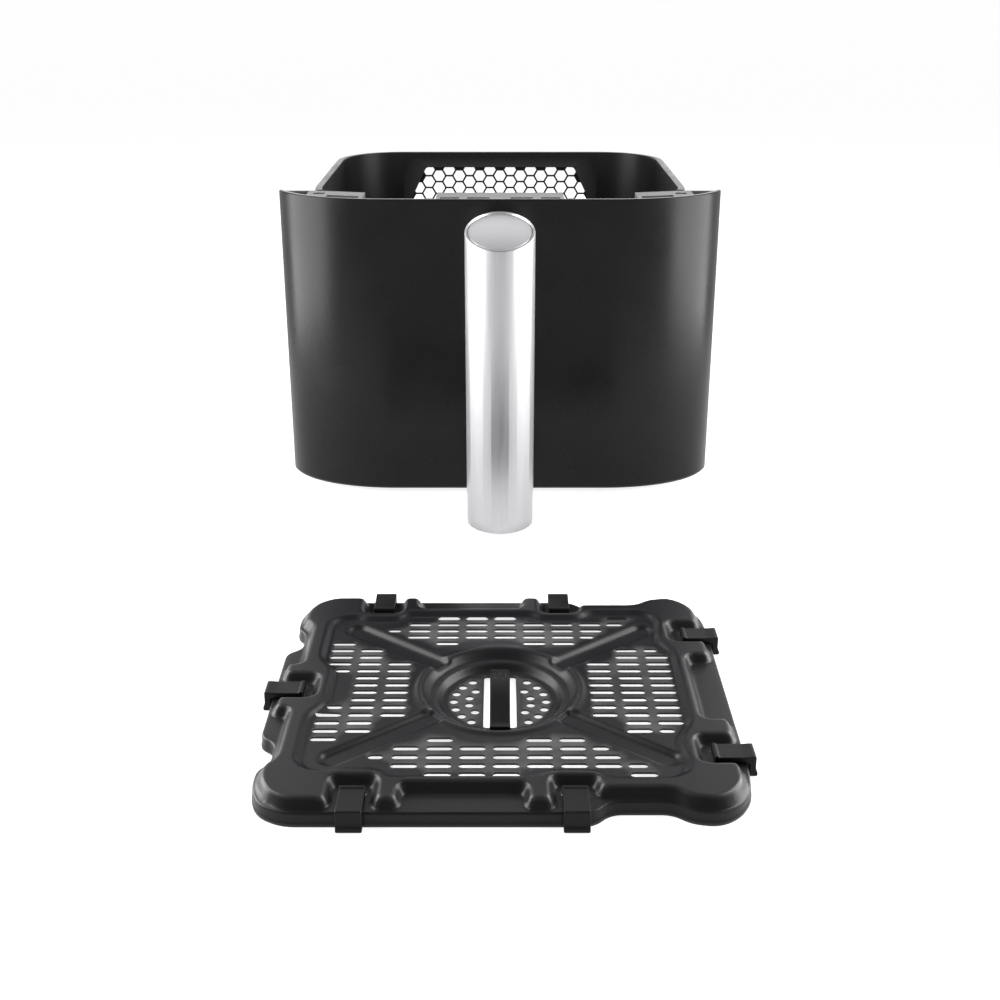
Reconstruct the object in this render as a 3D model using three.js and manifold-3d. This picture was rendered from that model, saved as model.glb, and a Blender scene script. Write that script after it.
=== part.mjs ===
// Drawer of an air fryer, with its crisper plate lying on the table in front of it.
// Millimetres, +Z up, +X to the right and +Y to the back. The origin is on the table, under the set's middle.
import * as THREE from "three";
import { mergeVertices } from "three/addons/utils/BufferGeometryUtils.js";
import Module from "manifold-3d";

const wasm = await Module();
wasm.setup();

// ---------------------------------------------------------------- driving dimensions
const clearance = 0.3; // between pieces that touch
const far = 400; // longer than any piece, for cutting tools
const past = 1; // how far a cutting tool goes past the face that it opens
const cornerSteps = 7; // straight stretches in a quarter turn

// The drawer's own y is 0 at the front face of the panel.
const panel = { halfWidth: 144.5, flatHalf: 70, turnDepth: 48, depth: 36, wall: 2.8, bottom: 4, height: 193 };
const lip = { thickness: 2.5, reach: 1.5 };
const panelTop = panel.bottom + panel.height;

const pan = {
  halfWidth: 116, front: 9.5, back: 211.5, corner: 41, draft: 3, wall: 1.2,
  bottom: 6, floorRadius: 12, rimWidth: 4.5, rimHeight: 3, frontDrop: 12.3,
};
const vent = {
  top: 185.5, height: 52, topHalf: 57, wideHalf: 74, wideDrop: 35, corner: 4, frame: 6, sheet: 1.2,
};
const cell = { pitch: 9.1, bar: 1.3, rise: 1.2 };

const frame = { wall: 2, airGap: 1, blockHeight: 11.6, topInset: 0.4, window: 30, bottomGap: 0.4 };
const endBlock = { inner: 86, shoulder: 120, innerBack: 27.5 };
const midBlock = { halfWidth: 40, back: 27 };
const pocket = { depth: 8, front: 3.4, back: 9.4, spans: [[6.5, 20.5], [25.5, 37.5]] };
// Outlines of the pockets in the right end block.
const endPockets = [
  [[88.5, 3], [88.5, 13.5], [109, 18.5], [109, 3]],
  [[111.5, 22], [111.5, 27], [118.5, 27], [118.5, 22]],
  [[122.5, 10], [122.5, 33.4], [140, 33.4], [140, 10]],
];
const endPocketWall = 2; // between these pockets and the panel's shell

const handle = {
  axis: -48, radius: 20.8, wall: 1.6, bottom: 2, top: 187, cutAngle: 20, facets: 24, fluteTop: 120,
};
const cap = { thickness: 3, recess: 0.5 };
const plug = { height: 7, proud: 0.8 };
const core = { bottom: 12, top: 172 };
const post = { halfWidth: 11, height: 22, upper: 150, lower: 40, seat: -33.5 };
const backing = { halfWidth: 26, thickness: 2, margin: 9 };
const handleScrew = { radius: 2, head: 4, headHeight: 2.3, spacing: 11, depth: 10 };

const frameScrew = { radius: 1.5, head: 3.2, headHeight: 2, length: 9, x: 130, low: 35, high: 165 };
const boss = { radius: 3.6 };
const bracket = { inner: 34, outer: 72, low: 50, high: 125, thickness: 1.5 };
const panScrew = { radius: 1.8, head: 4, headHeight: 2.2, low: 66, high: 110 };
const foot = { radius: 9, x: 85, front: 42, back: 180 };

// The plate's own origin is its middle, at table height.
const plateGap = 262; // from the panel's front to the plate's middle
const sheet = 1;
const level = { flange: 6.5, field: 9, ring: 11.5, floor: 1.8, groove: 6.8 };
const clip = { width: 11, reach: 4.2, inner: 2.7, strip: 12, top: 10.2, underStrip: 2 };
const slot = { length: 12, width: 3.4, pitchX: 14.75, pitchY: 6.6 };
const bowl = { floor: 27, ledge: 31, mouth: 36, bead: 38.5, edge: 42, ledgeHeight: 3.6, beadHeight: 1 };
// Radius of each arc of drain holes, and the holes' angles on it.
const drain = {
  radius: 2.15,
  arcs: [[22.1, [-53, -35.5, -18, 0, 18, 35.5, 53]], [15, [-38, -12, 12, 38]]],
};
const lift = { halfWidth: 4.8, gap: 3, halfSpan: 23, thickness: 2.2, rise: 10, seat: 3, bend: 1.2 };
const groove = { width: 8, start: 34, end: 95, angle: 38 };

const material = {
  panel: new THREE.MeshStandardMaterial({ color: 0x1b1b1c, roughness: 0.55 }),
  frame: new THREE.MeshStandardMaterial({ color: 0x232324, roughness: 0.6 }),
  coated: new THREE.MeshStandardMaterial({ color: 0x1a1a1b, roughness: 0.4, metalness: 0.2 }),
  plate: new THREE.MeshStandardMaterial({ color: 0x2f2f31, roughness: 0.45, metalness: 0.3 }),
  tube: new THREE.MeshStandardMaterial({ color: 0xc9c9cb, roughness: 0.25, metalness: 1 }),
  steel: new THREE.MeshStandardMaterial({ color: 0x9a9a9c, roughness: 0.35, metalness: 1 }),
  silicone: new THREE.MeshStandardMaterial({ color: 0x141415, roughness: 0.8 }),
};

// ---------------------------------------------------------------- solids
function solidOf(geometry) {
  const bare = geometry.clone();
  bare.deleteAttribute("normal");
  bare.deleteAttribute("uv");
  const merged = mergeVertices(bare, 1e-4);
  return new wasm.Manifold(
    new wasm.Mesh({
      numProp: 3,
      vertProperties: merged.attributes.position.array,
      triVerts: new Uint32Array(merged.index.array),
    }),
  );
}

function geometryOf(solid) {
  const { numProp, vertProperties, triVerts } = solid.getMesh();
  const stride = new THREE.InterleavedBuffer(vertProperties, numProp);
  const geometry = new THREE.BufferGeometry();
  geometry.setAttribute("position", new THREE.InterleavedBufferAttribute(stride, 3, 0));
  geometry.setIndex(new THREE.BufferAttribute(triVerts, 1));
  return geometry.toNonIndexed();
}

const join = (solids) => solids.reduce((whole, piece) => whole.add(piece));
const cut = (solid, tools) => tools.reduce((left, tool) => left.subtract(tool), solid);

function prism(points, low, high) {
  const shape = new THREE.Shape(points);
  const geometry = new THREE.ExtrudeGeometry(shape, { depth: high - low, bevelEnabled: false });
  return solidOf(geometry.translate(0, 0, low));
}

function box(x, y, z) {
  const geometry = new THREE.BoxGeometry(x[1] - x[0], y[1] - y[0], z[1] - z[0]);
  return solidOf(geometry.translate((x[0] + x[1]) / 2, (y[0] + y[1]) / 2, (z[0] + z[1]) / 2));
}

// A rod along Y, from one y to another, and one along Z.
function rodY(radius, x, z, from, to, sides = 12) {
  const geometry = new THREE.CylinderGeometry(radius, radius, to - from, sides);
  return solidOf(geometry.translate(x, (from + to) / 2, z));
}

function rodZ(radius, x, y, from, to, sides = 12) {
  const geometry = new THREE.CylinderGeometry(radius, radius, to - from, sides).rotateX(Math.PI / 2);
  return solidOf(geometry.translate(x, y, (from + to) / 2));
}

// Skins a stack of convex outlines that have the same number of points.
function loft(rings) {
  const count = rings[0].points.length;
  const corners = rings.flatMap(({ points, z }) => points.flatMap((p) => [p.x, p.y, z]));
  const faces = [];
  const last = (rings.length - 1) * count;
  for (let i = 0; i < count; i++) {
    const next = (i + 1) % count;
    for (let r = 0; r < last; r += count) {
      faces.push(r + i, r + next, r + count + next, r + i, r + count + next, r + count + i);
    }
    if (i > 0 && next > 0) {
      faces.push(0, next, i, last, last + i, last + next);
    }
  }
  const geometry = new THREE.BufferGeometry();
  geometry.setAttribute("position", new THREE.Float32BufferAttribute(corners, 3));
  geometry.setIndex(faces);
  return solidOf(geometry);
}

// ---------------------------------------------------------------- outlines
function roundedBox(x0, x1, y0, y1, radius) {
  const points = [];
  const centres = [[x1 - radius, y0 + radius], [x1 - radius, y1 - radius], [x0 + radius, y1 - radius],
    [x0 + radius, y0 + radius]];
  centres.forEach(([x, y], quarter) => {
    for (let i = 0; i <= cornerSteps; i++) {
      const angle = ((quarter - 1 + i / cornerSteps) * Math.PI) / 2;
      points.push(new THREE.Vector2(x + radius * Math.cos(angle), y + radius * Math.sin(angle)));
    }
  });
  return points;
}

// Moves every edge of an outline outwards by the same distance.
function offset(points, distance) {
  return points.map((point, i) => {
    const before = points[(i + points.length - 1) % points.length];
    const after = points[(i + 1) % points.length];
    const a = point.clone().sub(before).normalize();
    const b = after.clone().sub(point).normalize();
    const normal = new THREE.Vector2(a.y + b.y, -a.x - b.x).normalize();
    return point.clone().addScaledVector(normal, distance / Math.max(0.4, normal.dot({ x: a.y, y: -a.x })));
  });
}

// The panel's plan: straight across the middle, with a quarter of an ellipse at each end, from left to right.
function panelCurve(inset, depth = panel.depth) {
  const across = panel.halfWidth - panel.flatHalf - inset;
  const along = panel.turnDepth - inset;
  const turn = Math.acos((panel.turnDepth - depth) / along);
  const half = [];
  for (let i = 0; i <= 2 * cornerSteps; i++) {
    const angle = (turn * i) / (2 * cornerSteps);
    half.push([panel.flatHalf + across * Math.sin(angle), panel.turnDepth - along * Math.cos(angle)]);
  }
  const right = half.map(([x, y]) => new THREE.Vector2(x, y));
  const left = half.map(([x, y]) => new THREE.Vector2(-x, y)).reverse();
  return [...left, ...right];
}

const panOutline = (grow) =>
  roundedBox(-pan.halfWidth - grow, pan.halfWidth + grow, pan.front - grow, pan.back + grow,
    pan.corner + grow);

// How far the tapered pan has drawn in at a height.
const drawnIn = (z) => (pan.draft * (panelTop - z)) / (panelTop - pan.bottom);

const bothSides = [-1, 1];
const degrees = THREE.MathUtils.degToRad;

// ---------------------------------------------------------------- front of the drawer
function frontPanel() {
  const shell = prism([...panelCurve(0), ...panelCurve(panel.wall).reverse()], panel.bottom, panelTop);
  const lipTop = panel.bottom + lip.thickness;
  const floor = prism(panelCurve(0), panel.bottom, lipTop).subtract(prism(panOutline(lip.reach), 0, far));
  const inside = prism(panelCurve(panel.wall / 2), 0, far);
  const bosses = frameScrewPlaces().map(([x, z]) =>
    rodY(boss.radius, x, z, 0, frameWallFront() - clearance).intersect(inside),
  );
  return cut(join([shell, floor, ...bosses]), [
    ...frameScrewPlaces().map(([x, z]) =>
      rodY(frameScrew.radius + clearance, x, z, frameWallFront() - frameScrew.length - past, far),
    ),
    ...handleScrewPlaces().map((z) =>
      rodY(handleScrew.radius + clearance, 0, z, -past, panel.wall + past)),
  ]);
}

const frameWallFront = () => panel.depth - clearance - frame.wall;
const frameScrewPlaces = () =>
  bothSides.flatMap((side) => [frameScrew.low, frameScrew.high].map((z) => [side * frameScrew.x, z]));

function innerFrame() {
  const low = panel.bottom + lip.thickness + frame.bottomGap;
  const top = panelTop - frame.topInset;
  const blockLow = top - frame.blockHeight;
  const back = panel.depth - clearance;
  const inside = prism(panelCurve(panel.wall + clearance), 0, far);
  const near = pan.wall + frame.airGap;
  const aroundPan = prism(panOutline(near + frame.wall), low, blockLow + past)
    .subtract(prism(panOutline(near), 0, far))
    .intersect(box([-far, far], [-far, back], [0, far]));
  const panRoom = pan.halfWidth + near + frame.wall / 4;
  const endWalls = box([-far, far], [frameWallFront(), back], [low, top])
    .subtract(box([-panRoom, panRoom], [0, far], [0, far]))
    .intersect(inside);
  const middle = box([-midBlock.halfWidth, midBlock.halfWidth], [panel.wall + clearance, midBlock.back],
    [blockLow, top]);
  const ends = bothSides.map((side) => endBlockSolid(side, blockLow, top).intersect(inside));
  const whole = join([aroundPan, endWalls, middle, ...ends]);
  const deep = [top - pocket.depth, far];
  const pocketRoom = prism(panelCurve(panel.wall + endPocketWall), 0, far);
  const pockets = bothSides.flatMap((side) => [
    ...pocket.spans.map((x) => box(inOrder(side, x), [pocket.front, pocket.back], deep)),
    ...endPockets.map((outline) => prism(sided(side, outline), ...deep).intersect(pocketRoom)),
  ]);
  return cut(whole, [
    ...pockets,
    box([-frame.window, frame.window], [-far, midBlock.back - past],
      [post.lower - post.height / 2 - backing.margin, post.upper + post.height / 2 + backing.margin]),
    ...frameScrewPlaces().map(([x, z]) =>
      rodY(frameScrew.radius + clearance, x, z, frameWallFront() - frameScrew.length, far)),
    ...panScrewPlaces().map(([x, z]) => rodY(panScrew.radius + clearance, x, z, 0, pan.front + pan.draft)),
  ]);
}

const inOrder = (side, [a, b]) => (side > 0 ? [a, b] : [-b, -a]);

// An outline given for the right side, or its mirror image, turning the right way round.
function sided(side, points) {
  const moved = points.map(([x, y]) => new THREE.Vector2(side * x, y));
  return THREE.ShapeUtils.isClockWise(moved) ? moved.reverse() : moved;
}

function endBlockSolid(side, low, high) {
  const back = panel.depth - clearance;
  const outline = [[endBlock.inner, 0], [far, 0], [far, back], [endBlock.shoulder, back],
    [endBlock.inner, endBlock.innerBack]];
  return prism(sided(side, outline), low, high);
}

// ---------------------------------------------------------------- pan
const insetRing = (inset, z) => ({ points: panOutline(-inset), z });

// A tapered tub, rounded where its wall meets its floor.
function tub(grow, low) {
  const rings = [];
  const radius = pan.floorRadius + grow;
  const steps = 3;
  for (let i = 0; i <= steps; i++) {
    const angle = (i / steps) * (Math.PI / 2);
    const z = low + radius * (1 - Math.cos(angle));
    rings.push(insetRing(drawnIn(z) - grow + radius * (1 - Math.sin(angle)), z));
  }
  rings.push(insetRing(-grow, panelTop));
  return loft(rings);
}

function panBody() {
  const floor = pan.bottom + pan.wall;
  const inner = tub(0, floor).add(prism(panOutline(0), panelTop - 0.01, panelTop + past));
  const rim = prism(panOutline(pan.rimWidth), panelTop - pan.rimHeight, panelTop);
  const frontOfRim = panel.depth + clearance;
  return cut(tub(pan.wall, pan.bottom).add(rim), [
    inner,
    box([-far, far], [-far, frontOfRim], [panelTop - pan.frontDrop, far]),
    rotateToBackWall(prism(ventOutline(0), -20, 20)),
    ...panScrewPlaces().map(([x, z]) =>
      rodY(panScrew.radius + clearance, x, z, 0, pan.front + 2 * pan.draft)),
  ]);
}

// The window in the back wall, drawn flat: x across, y up from the middle of the window.
const ventMiddle = vent.top - vent.height / 2;
const ventOutline = (grow) => {
  const up = vent.height / 2;
  const wide = up - vent.wideDrop;
  const half = [[vent.topHalf, up], [vent.wideHalf, wide], [vent.wideHalf, -up + vent.corner],
    [vent.wideHalf - vent.corner, -up]];
  const left = half.map(([x, y]) => new THREE.Vector2(-x, y));
  const right = half.map(([x, y]) => new THREE.Vector2(x, y)).reverse();
  return offset([...left, ...right], grow);
};

const wallTilt = Math.atan(pan.draft / (panelTop - pan.bottom));
const backWallAt = (z) => pan.back - drawnIn(z);

// Stands a flat piece up against the inside of the back wall, its z becoming +y.
function rotateToBackWall(solid) {
  const place = new THREE.Matrix4()
    .makeTranslation(0, backWallAt(ventMiddle), ventMiddle)
    .multiply(new THREE.Matrix4().makeRotationX(-wallTilt))
    .multiply(new THREE.Matrix4().makeRotationX(Math.PI / 2))
    .multiply(new THREE.Matrix4().makeScale(1, 1, -1));
  return solid.transform([...place.elements]);
}

function ventGrille() {
  const low = pan.wall + clearance;
  const blank = prism(ventOutline(vent.frame), low, low + vent.sheet);
  const seen = ventOutline(cell.pitch / 4);
  const stepX = (cell.pitch * Math.sqrt(3)) / 2;
  const holeRadius = (cell.pitch - cell.bar) / Math.sqrt(3);
  const holes = [];
  const columns = Math.ceil(vent.wideHalf / stepX);
  const rows = Math.ceil(vent.height / 2 / cell.pitch) + 1;
  for (let column = -columns; column <= columns; column++) {
    const shift = cell.rise + (column % 2 ? cell.pitch / 2 : 0);
    for (let row = -rows; row <= rows; row++) {
      const x = column * stepX;
      const y = row * cell.pitch + shift;
      if (inside(seen, x, y)) {
        const hole = new THREE.CylinderGeometry(holeRadius, holeRadius, far, 6).rotateY(Math.PI / 6);
        holes.push(solidOf(hole.rotateX(Math.PI / 2).translate(x, y, 0)));
      }
    }
  }
  return rotateToBackWall(cut(blank, holes));
}

function inside(outline, x, y) {
  let within = false;
  outline.forEach((a, i) => {
    const b = outline[(i + 1) % outline.length];
    if (a.y > y !== b.y > y && x < a.x + ((b.x - a.x) * (y - a.y)) / (b.y - a.y)) within = !within;
  });
  return within;
}

const panScrewX = (bracket.inner + bracket.outer) / 2;
const panScrewPlaces = () =>
  bothSides.flatMap((side) => [panScrew.low, panScrew.high].map((z) => [side * panScrewX, z]));

function panBracket(side) {
  const front = pan.front - pan.wall - frame.airGap + clearance;
  const plate = box(inOrder(side, [bracket.inner, bracket.outer]), [front, front + bracket.thickness],
    [bracket.low, bracket.high]);
  return cut(plate, panScrewPlaces().map(([x, z]) => rodY(panScrew.radius + clearance, x, z, 0, far)));
}

// A screw that points to the front (-Y), its head's underside at y.
function screwSolid(size, x, z, y, length) {
  const shank = rodY(size.radius, x, z, y - length, y + size.headHeight / 2);
  return shank.add(rodY(size.head, x, z, y, y + size.headHeight, 16));
}

function footSolid(x, y) {
  return rodZ(foot.radius, x, y, 0, pan.bottom - clearance, 20);
}

// ---------------------------------------------------------------- handle
// Everything above the sloping plane that cuts the top of the handle, lowered by a depth.
function aboveCut(depth) {
  const size = 4 * handle.radius;
  const slab = new THREE.BoxGeometry(size, size, size).translate(0, 0, size / 2);
  slab.rotateX(THREE.MathUtils.degToRad(handle.cutAngle));
  return solidOf(slab.translate(0, handle.axis, handle.top - depth));
}

// A round bar whose lower end turns into flat facets.
function flutedBar(radius, low, high) {
  const count = 2 * handle.facets;
  const flat = Math.cos(Math.PI / handle.facets);
  const ring = (z, flatness) => ({
    z,
    points: Array.from({ length: count }, (_, i) => {
      const angle = (i / count) * 2 * Math.PI - Math.PI / 2;
      const r = i % 2 ? radius * (1 + (flat - 1) * flatness) : radius;
      return new THREE.Vector2(r * Math.cos(angle), handle.axis + r * Math.sin(angle));
    }),
  });
  return loft([ring(low, 1), ring(handle.fluteTop, 0), ring(high, 0)]);
}

const postSpan = (z) => [z - post.height / 2, z + post.height / 2];
const posts = [post.lower, post.upper];
const handleScrewPlaces = () =>
  posts.flatMap((z) => [z - handleScrew.spacing / 2, z + handleScrew.spacing / 2]);
const bore = handle.radius - handle.wall;

function handleTube() {
  const wide = post.halfWidth + clearance;
  return cut(flutedBar(handle.radius, handle.bottom, handle.top + 20), [
    rodZ(bore, 0, handle.axis, -far / 2, far, 32),
    aboveCut(0),
    ...posts.map((z) => {
      const [low, high] = postSpan(z);
      return box([-wide, wide], [handle.axis, 0], [low - clearance, high + clearance]);
    }),
  ]);
}

function handleCap() {
  const disc = rodZ(bore - clearance, 0, handle.axis, handle.top - 40, handle.top + 20, 32);
  return disc.subtract(aboveCut(cap.recess)).intersect(aboveCut(cap.recess + cap.thickness));
}

function handlePlug() {
  return rodZ(bore - clearance, 0, handle.axis, handle.bottom - plug.proud, handle.bottom + plug.height, 32);
}

function handleCore() {
  return cut(rodZ(bore - clearance, 0, handle.axis, core.bottom, core.top, 24), [
    ...posts.map((z) => {
      const [low, high] = postSpan(z);
      return box([-far, far], [post.seat, 0], [low - clearance, high + clearance]);
    }),
    ...handleScrewPlaces().map((z) =>
      rodY(handleScrew.radius + clearance, 0, z, post.seat - handleScrew.depth - past, 0)),
  ]);
}

function handlePost(z) {
  const block = box([-post.halfWidth, post.halfWidth], [post.seat + clearance, -clearance], postSpan(z));
  return cut(block, handleScrewPlaces().map((at) => rodY(handleScrew.radius + clearance, 0, at, -far, far)));
}

const backingFront = panel.wall + clearance;
const backingBack = backingFront + backing.thickness;

function backingPlate() {
  const reach = handleScrew.spacing / 2 + backing.margin;
  const plate = box([-backing.halfWidth, backing.halfWidth], [backingFront, backingBack],
    [post.lower - reach, post.upper + reach]);
  return cut(plate, handleScrewPlaces().map((z) => rodY(handleScrew.radius + clearance, 0, z, 0, far)));
}

// ---------------------------------------------------------------- crisper plate
const mirroredY = (half) => {
  const low = half.map(([x, y]) => new THREE.Vector2(x, -y)).reverse();
  return [...low, ...half.map(([x, y]) => new THREE.Vector2(x, y))].reverse();
};

const plateSize = { left: 108.5, right: 108.5, depth: 94 };
const clipRow = { x: [-62, 31.6], rightY: 53 };
const pocketHalf = 9.5;

// Each outline is listed for the back half, from left to right, and mirrored to the front.
function flangeOutline() {
  const { left, right, depth } = plateSize;
  return mirroredY([
    [-left, 38], [-left + 7.5, 43], [-left + 7.5, 57], [-left + 2.5, 63], [-left + 2.5, depth - 18],
    [-left + 7, depth - 6.5], [-left + 18, depth], [39, depth], [46, depth - 8], [72, depth - 8],
    [79, depth - 2], [91, depth], [right - 8, depth - 6], [right - 1.5, depth - 17], [right, 62],
  ]);
}

function ringOutline() {
  const { left, right, depth } = plateSize;
  const [firstX, secondX] = clipRow.x;
  return mirroredY([
    [-88, pocketHalf], [-105, pocketHalf], [-105, 21], [-98, 21], [-98, 59], [-left + 5.5, 65],
    [-left + 5.5, depth - 19], [-left + 10, depth - 9], [-left + 19, depth - 3],
    [firstX - pocketHalf, depth - 3], [firstX - pocketHalf, 74], [firstX + pocketHalf, 74],
    [firstX + pocketHalf, depth - 3], [-42, depth - 3], [-42, 79], [11, 79], [11, depth - 3],
    [secondX - pocketHalf, depth - 3], [secondX - pocketHalf, 74], [secondX + pocketHalf, 74],
    [secondX + pocketHalf, depth - 11], [72, depth - 11], [79, depth - 5], [91, depth - 3],
    [right - 9.5, depth - 8.5], [right - 4.5, depth - 17], [right - 4.5, clipRow.rightY + pocketHalf],
    [87.5, clipRow.rightY + pocketHalf], [87.5, clipRow.rightY - pocketHalf],
    [105, clipRow.rightY - pocketHalf], [105, 28], [93, 28],
  ]);
}

function fieldOutline() {
  return mirroredY([
    [-81, 15], [-88, 26], [-88, 62], [-83, 68], [-75, 69], [-70, 67], [-54, 67], [-48, 73], [16, 73],
    [22, 69], [41, 69], [47, 74], [74, 74], [80, 70], [82, 61], [80, 50], [80, 44], [86, 32],
  ]);
}

// An inverted tray of sheet metal: its top at one level, its edge reaching down to another.
const tray = (outline, low, top) =>
  prism(outline, low, top).subtract(prism(offset(outline, -sheet), low - past, top - sheet));

function slotSolid(x, y, length) {
  const end = length / 2;
  const half = slot.width / 2;
  const points = [[-end, 0], [-end + half, -half], [end - half, -half], [end, 0], [end - half, half],
    [-end + half, half]];
  return prism(points.map(([px, py]) => new THREE.Vector2(px + x, py + y)), level.floor + 3, far);
}

// Slots as [column, length] for each row, from the middle out. The back rows are mirrored to the front.
const columnX = (n) => 2.7 + n * slot.pitchX;
const endRows = [
  [[-2, 12], [1, 12], [2, 12]],
  [[-3, 12], [-2, 12], [-1, 12], [0, 12], [1, 12], [2, 12], [2.83, 7.8]],
  [[-3.87, 7], [-3, 12], [-2, 12], [-1, 12], [0, 12], [1, 12], [2, 12], [3, 12]],
  [[-3, 12], [-2, 12], [-1, 12], [0, 12], [1, 12], [2, 12], [3, 12], [3.86, 9]],
  [[-2, 12], [-1, 12], [0, 12], [4, 12]],
];
const firstEndRow = 43.6;
const stubLength = 7.4;
const sideColumns = [
  { x: -79, rows: [3.5, 6.5], stub: { row: 2.5, x: -76.8 } },
  { x: -64.3, rows: [-5.5, 5.5] },
  { x: -49.5, rows: [-3.5, 3.5] },
  { x: 48.5, rows: [-3.5, 3.5] },
  { x: 63.2, rows: [-5.5, 5.5] },
  { x: 77.9, rows: [-4.5, 4.5], stub: { row: 5.5, x: 75.5 } },
];

function slots() {
  const made = [];
  endRows.forEach((row, n) => {
    const y = firstEndRow + n * slot.pitchY;
    row.forEach(([column, length]) =>
      bothSides.forEach((side) => made.push(slotSolid(columnX(column), side * y, length))));
  });
  sideColumns.forEach(({ x, rows: [from, to], stub }) => {
    for (let row = from; row <= to; row++) {
      const mirror = from > 0 ? bothSides : [1];
      mirror.forEach((side) => made.push(slotSolid(x, side * row * slot.pitchY, slot.length)));
    }
    if (stub) {
      bothSides.forEach((side) => made.push(slotSolid(stub.x, side * stub.row * slot.pitchY, stubLength)));
    }
  });
  return made;
}

// The round well, as a turned profile: down the outside and back up the inside.
function wellSolid() {
  const { floor, ledge, mouth, bead, edge, ledgeHeight, beadHeight } = bowl;
  const inner = [[0, level.floor], [floor, level.floor], [ledge - 1, level.floor + ledgeHeight],
    [ledge + 1.5, level.floor + ledgeHeight + 0.6], [mouth, level.field + beadHeight * 0.6],
    [bead, level.field + beadHeight], [edge, level.field]];
  const outer = inner.map(([r, z]) => [r > 0 ? r + sheet * 0.6 : 0, z - sheet]).reverse();
  outer[0] = [edge, level.field - sheet];
  const profile = [...outer.reverse(), ...inner.reverse()].map(([r, z]) => new THREE.Vector2(r, z));
  const geometry = new THREE.LatheGeometry(profile, 40);
  return solidOf(geometry.rotateX(Math.PI / 2));
}

function drainHoles() {
  const places = drain.arcs.flatMap(([r, angles]) =>
    angles.map((angle) => new THREE.Vector2(r, 0).rotateAround(new THREE.Vector2(), degrees(angle))));
  return places.flatMap(({ x, y }) =>
    bothSides.map((side) => rodZ(drain.radius, side * x, y, -past, level.floor + past, 8)));
}

// The four drain grooves run from the well towards the corners.
const grooveAngles = [groove.angle, 180 - groove.angle, 180 + groove.angle, -groove.angle];

function grooveBar(angle, width, low, high) {
  const half = width / 2;
  const outline = roundedBox(groove.start, groove.end, -half, half, half * 0.6);
  return prism(outline, low, high).rotate([0, 0, angle]);
}

function plateSheet() {
  const ring = ringOutline();
  const field = fieldOutline();
  let whole = tray(flangeOutline(), 0, level.flange);
  whole = whole.subtract(prism(offset(ring, -sheet), -past, far));
  whole = whole.add(tray(ring, level.flange - sheet, level.ring));
  whole = whole.subtract(prism(field, -past, far));
  whole = whole.add(prism(offset(field, sheet), level.field - sheet, level.ring));
  whole = whole.subtract(prism(field, level.field, far));
  whole = join([whole, ...grooveAngles.map((a) =>
    grooveBar(a, groove.width + 2 * sheet, level.groove - sheet, level.field - 0.01))]);
  whole = cut(whole, grooveAngles.map((a) => grooveBar(a, groove.width, level.groove, far)));
  whole = cut(whole, [rodZ(bowl.edge - sheet / 2, 0, 0, -past, far, 40)]).add(wellSolid());
  const opening = lift.halfWidth + lift.gap;
  return cut(whole, [
    ...slots(),
    ...drainHoles(),
    box([-opening, opening], [-lift.halfSpan, lift.halfSpan], [-past, level.floor + past]),
    ...clipPlaces().map((place) => place.stand(clipSlit())),
  ]);
}

// Where the clips sit, each turned so that its own +x points outwards from the plate's edge at x = 0.
function clipPlaces() {
  const { left, right, depth } = plateSize;
  const at = (name, x, y, degrees) => ({
    name,
    stand: (solid) => solid.rotate([0, 0, degrees]).translate([x, y, 0]),
  });
  return [
    at("clip_back_left", clipRow.x[0], depth, 90),
    at("clip_back_right", clipRow.x[1], depth, 90),
    at("clip_front_left", clipRow.x[0], -depth, -90),
    at("clip_front_right", clipRow.x[1], -depth, -90),
    at("clip_left", -left, 0, 180),
    at("clip_right_back", right, clipRow.rightY, 0),
    at("clip_right_front", right, -clipRow.rightY, 0),
  ];
}

function clipSlit() {
  const half = clip.width / 2 + clearance;
  const start = -clip.strip - clip.inner - 2 * clearance;
  return box([start, -clip.strip], [-half, half], [-past, far]);
}

// A silicone loop round the strip of flange between its slit and the edge, with a bumper outside.
function clipSolid() {
  const half = clip.width / 2;
  const innerEnd = -clip.strip - clearance - clip.inner;
  const skirtOut = clearance;
  const body = box([innerEnd, clip.reach], [-half, half], [0, clip.top]);
  const overStrip = box([-clip.strip - clearance, skirtOut], [-far, far],
    [level.flange - sheet - clearance, level.flange + clearance]);
  const behindSkirt = box([-sheet - clearance, skirtOut], [-far, far], [-past, level.flange]);
  const underStrip = box([-clip.strip - clearance, -sheet - clearance - clip.underStrip], [-far, far],
    [-past, level.flange - sheet - clearance - clip.underStrip]);
  return cut(body, [overStrip, behindSkirt, underStrip]);
}

// An arched strap over the opening in the well's floor, with a flat seat at each end.
function liftHandle() {
  const outer = [];
  const steps = 16;
  const reach = lift.halfSpan;
  for (let i = 0; i <= steps; i++) {
    const t = -1 + (2 * i) / steps;
    const crest = lift.rise * Math.cos((Math.PI / 2) * t) ** lift.bend;
    outer.push([reach * t, level.floor + clearance + lift.thickness + crest]);
  }
  const inner = outer.map(([y, z]) => [y, z - lift.thickness]).reverse();
  const profile = [[-reach - lift.seat, level.floor + clearance], [-reach - lift.seat, outer[0][1]], ...outer,
    [reach + lift.seat, outer[0][1]], [reach + lift.seat, level.floor + clearance], ...inner];
  const points = profile.map(([y, z]) => new THREE.Vector2(y, z)).reverse();
  const strap = prism(points, -lift.halfWidth, lift.halfWidth);
  return strap.rotate([90, 0, 90]);
}

// ---------------------------------------------------------------- assembly
function mesh(name, solid, look) {
  const made = new THREE.Mesh(geometryOf(solid), look);
  made.name = name;
  return made;
}

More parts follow.
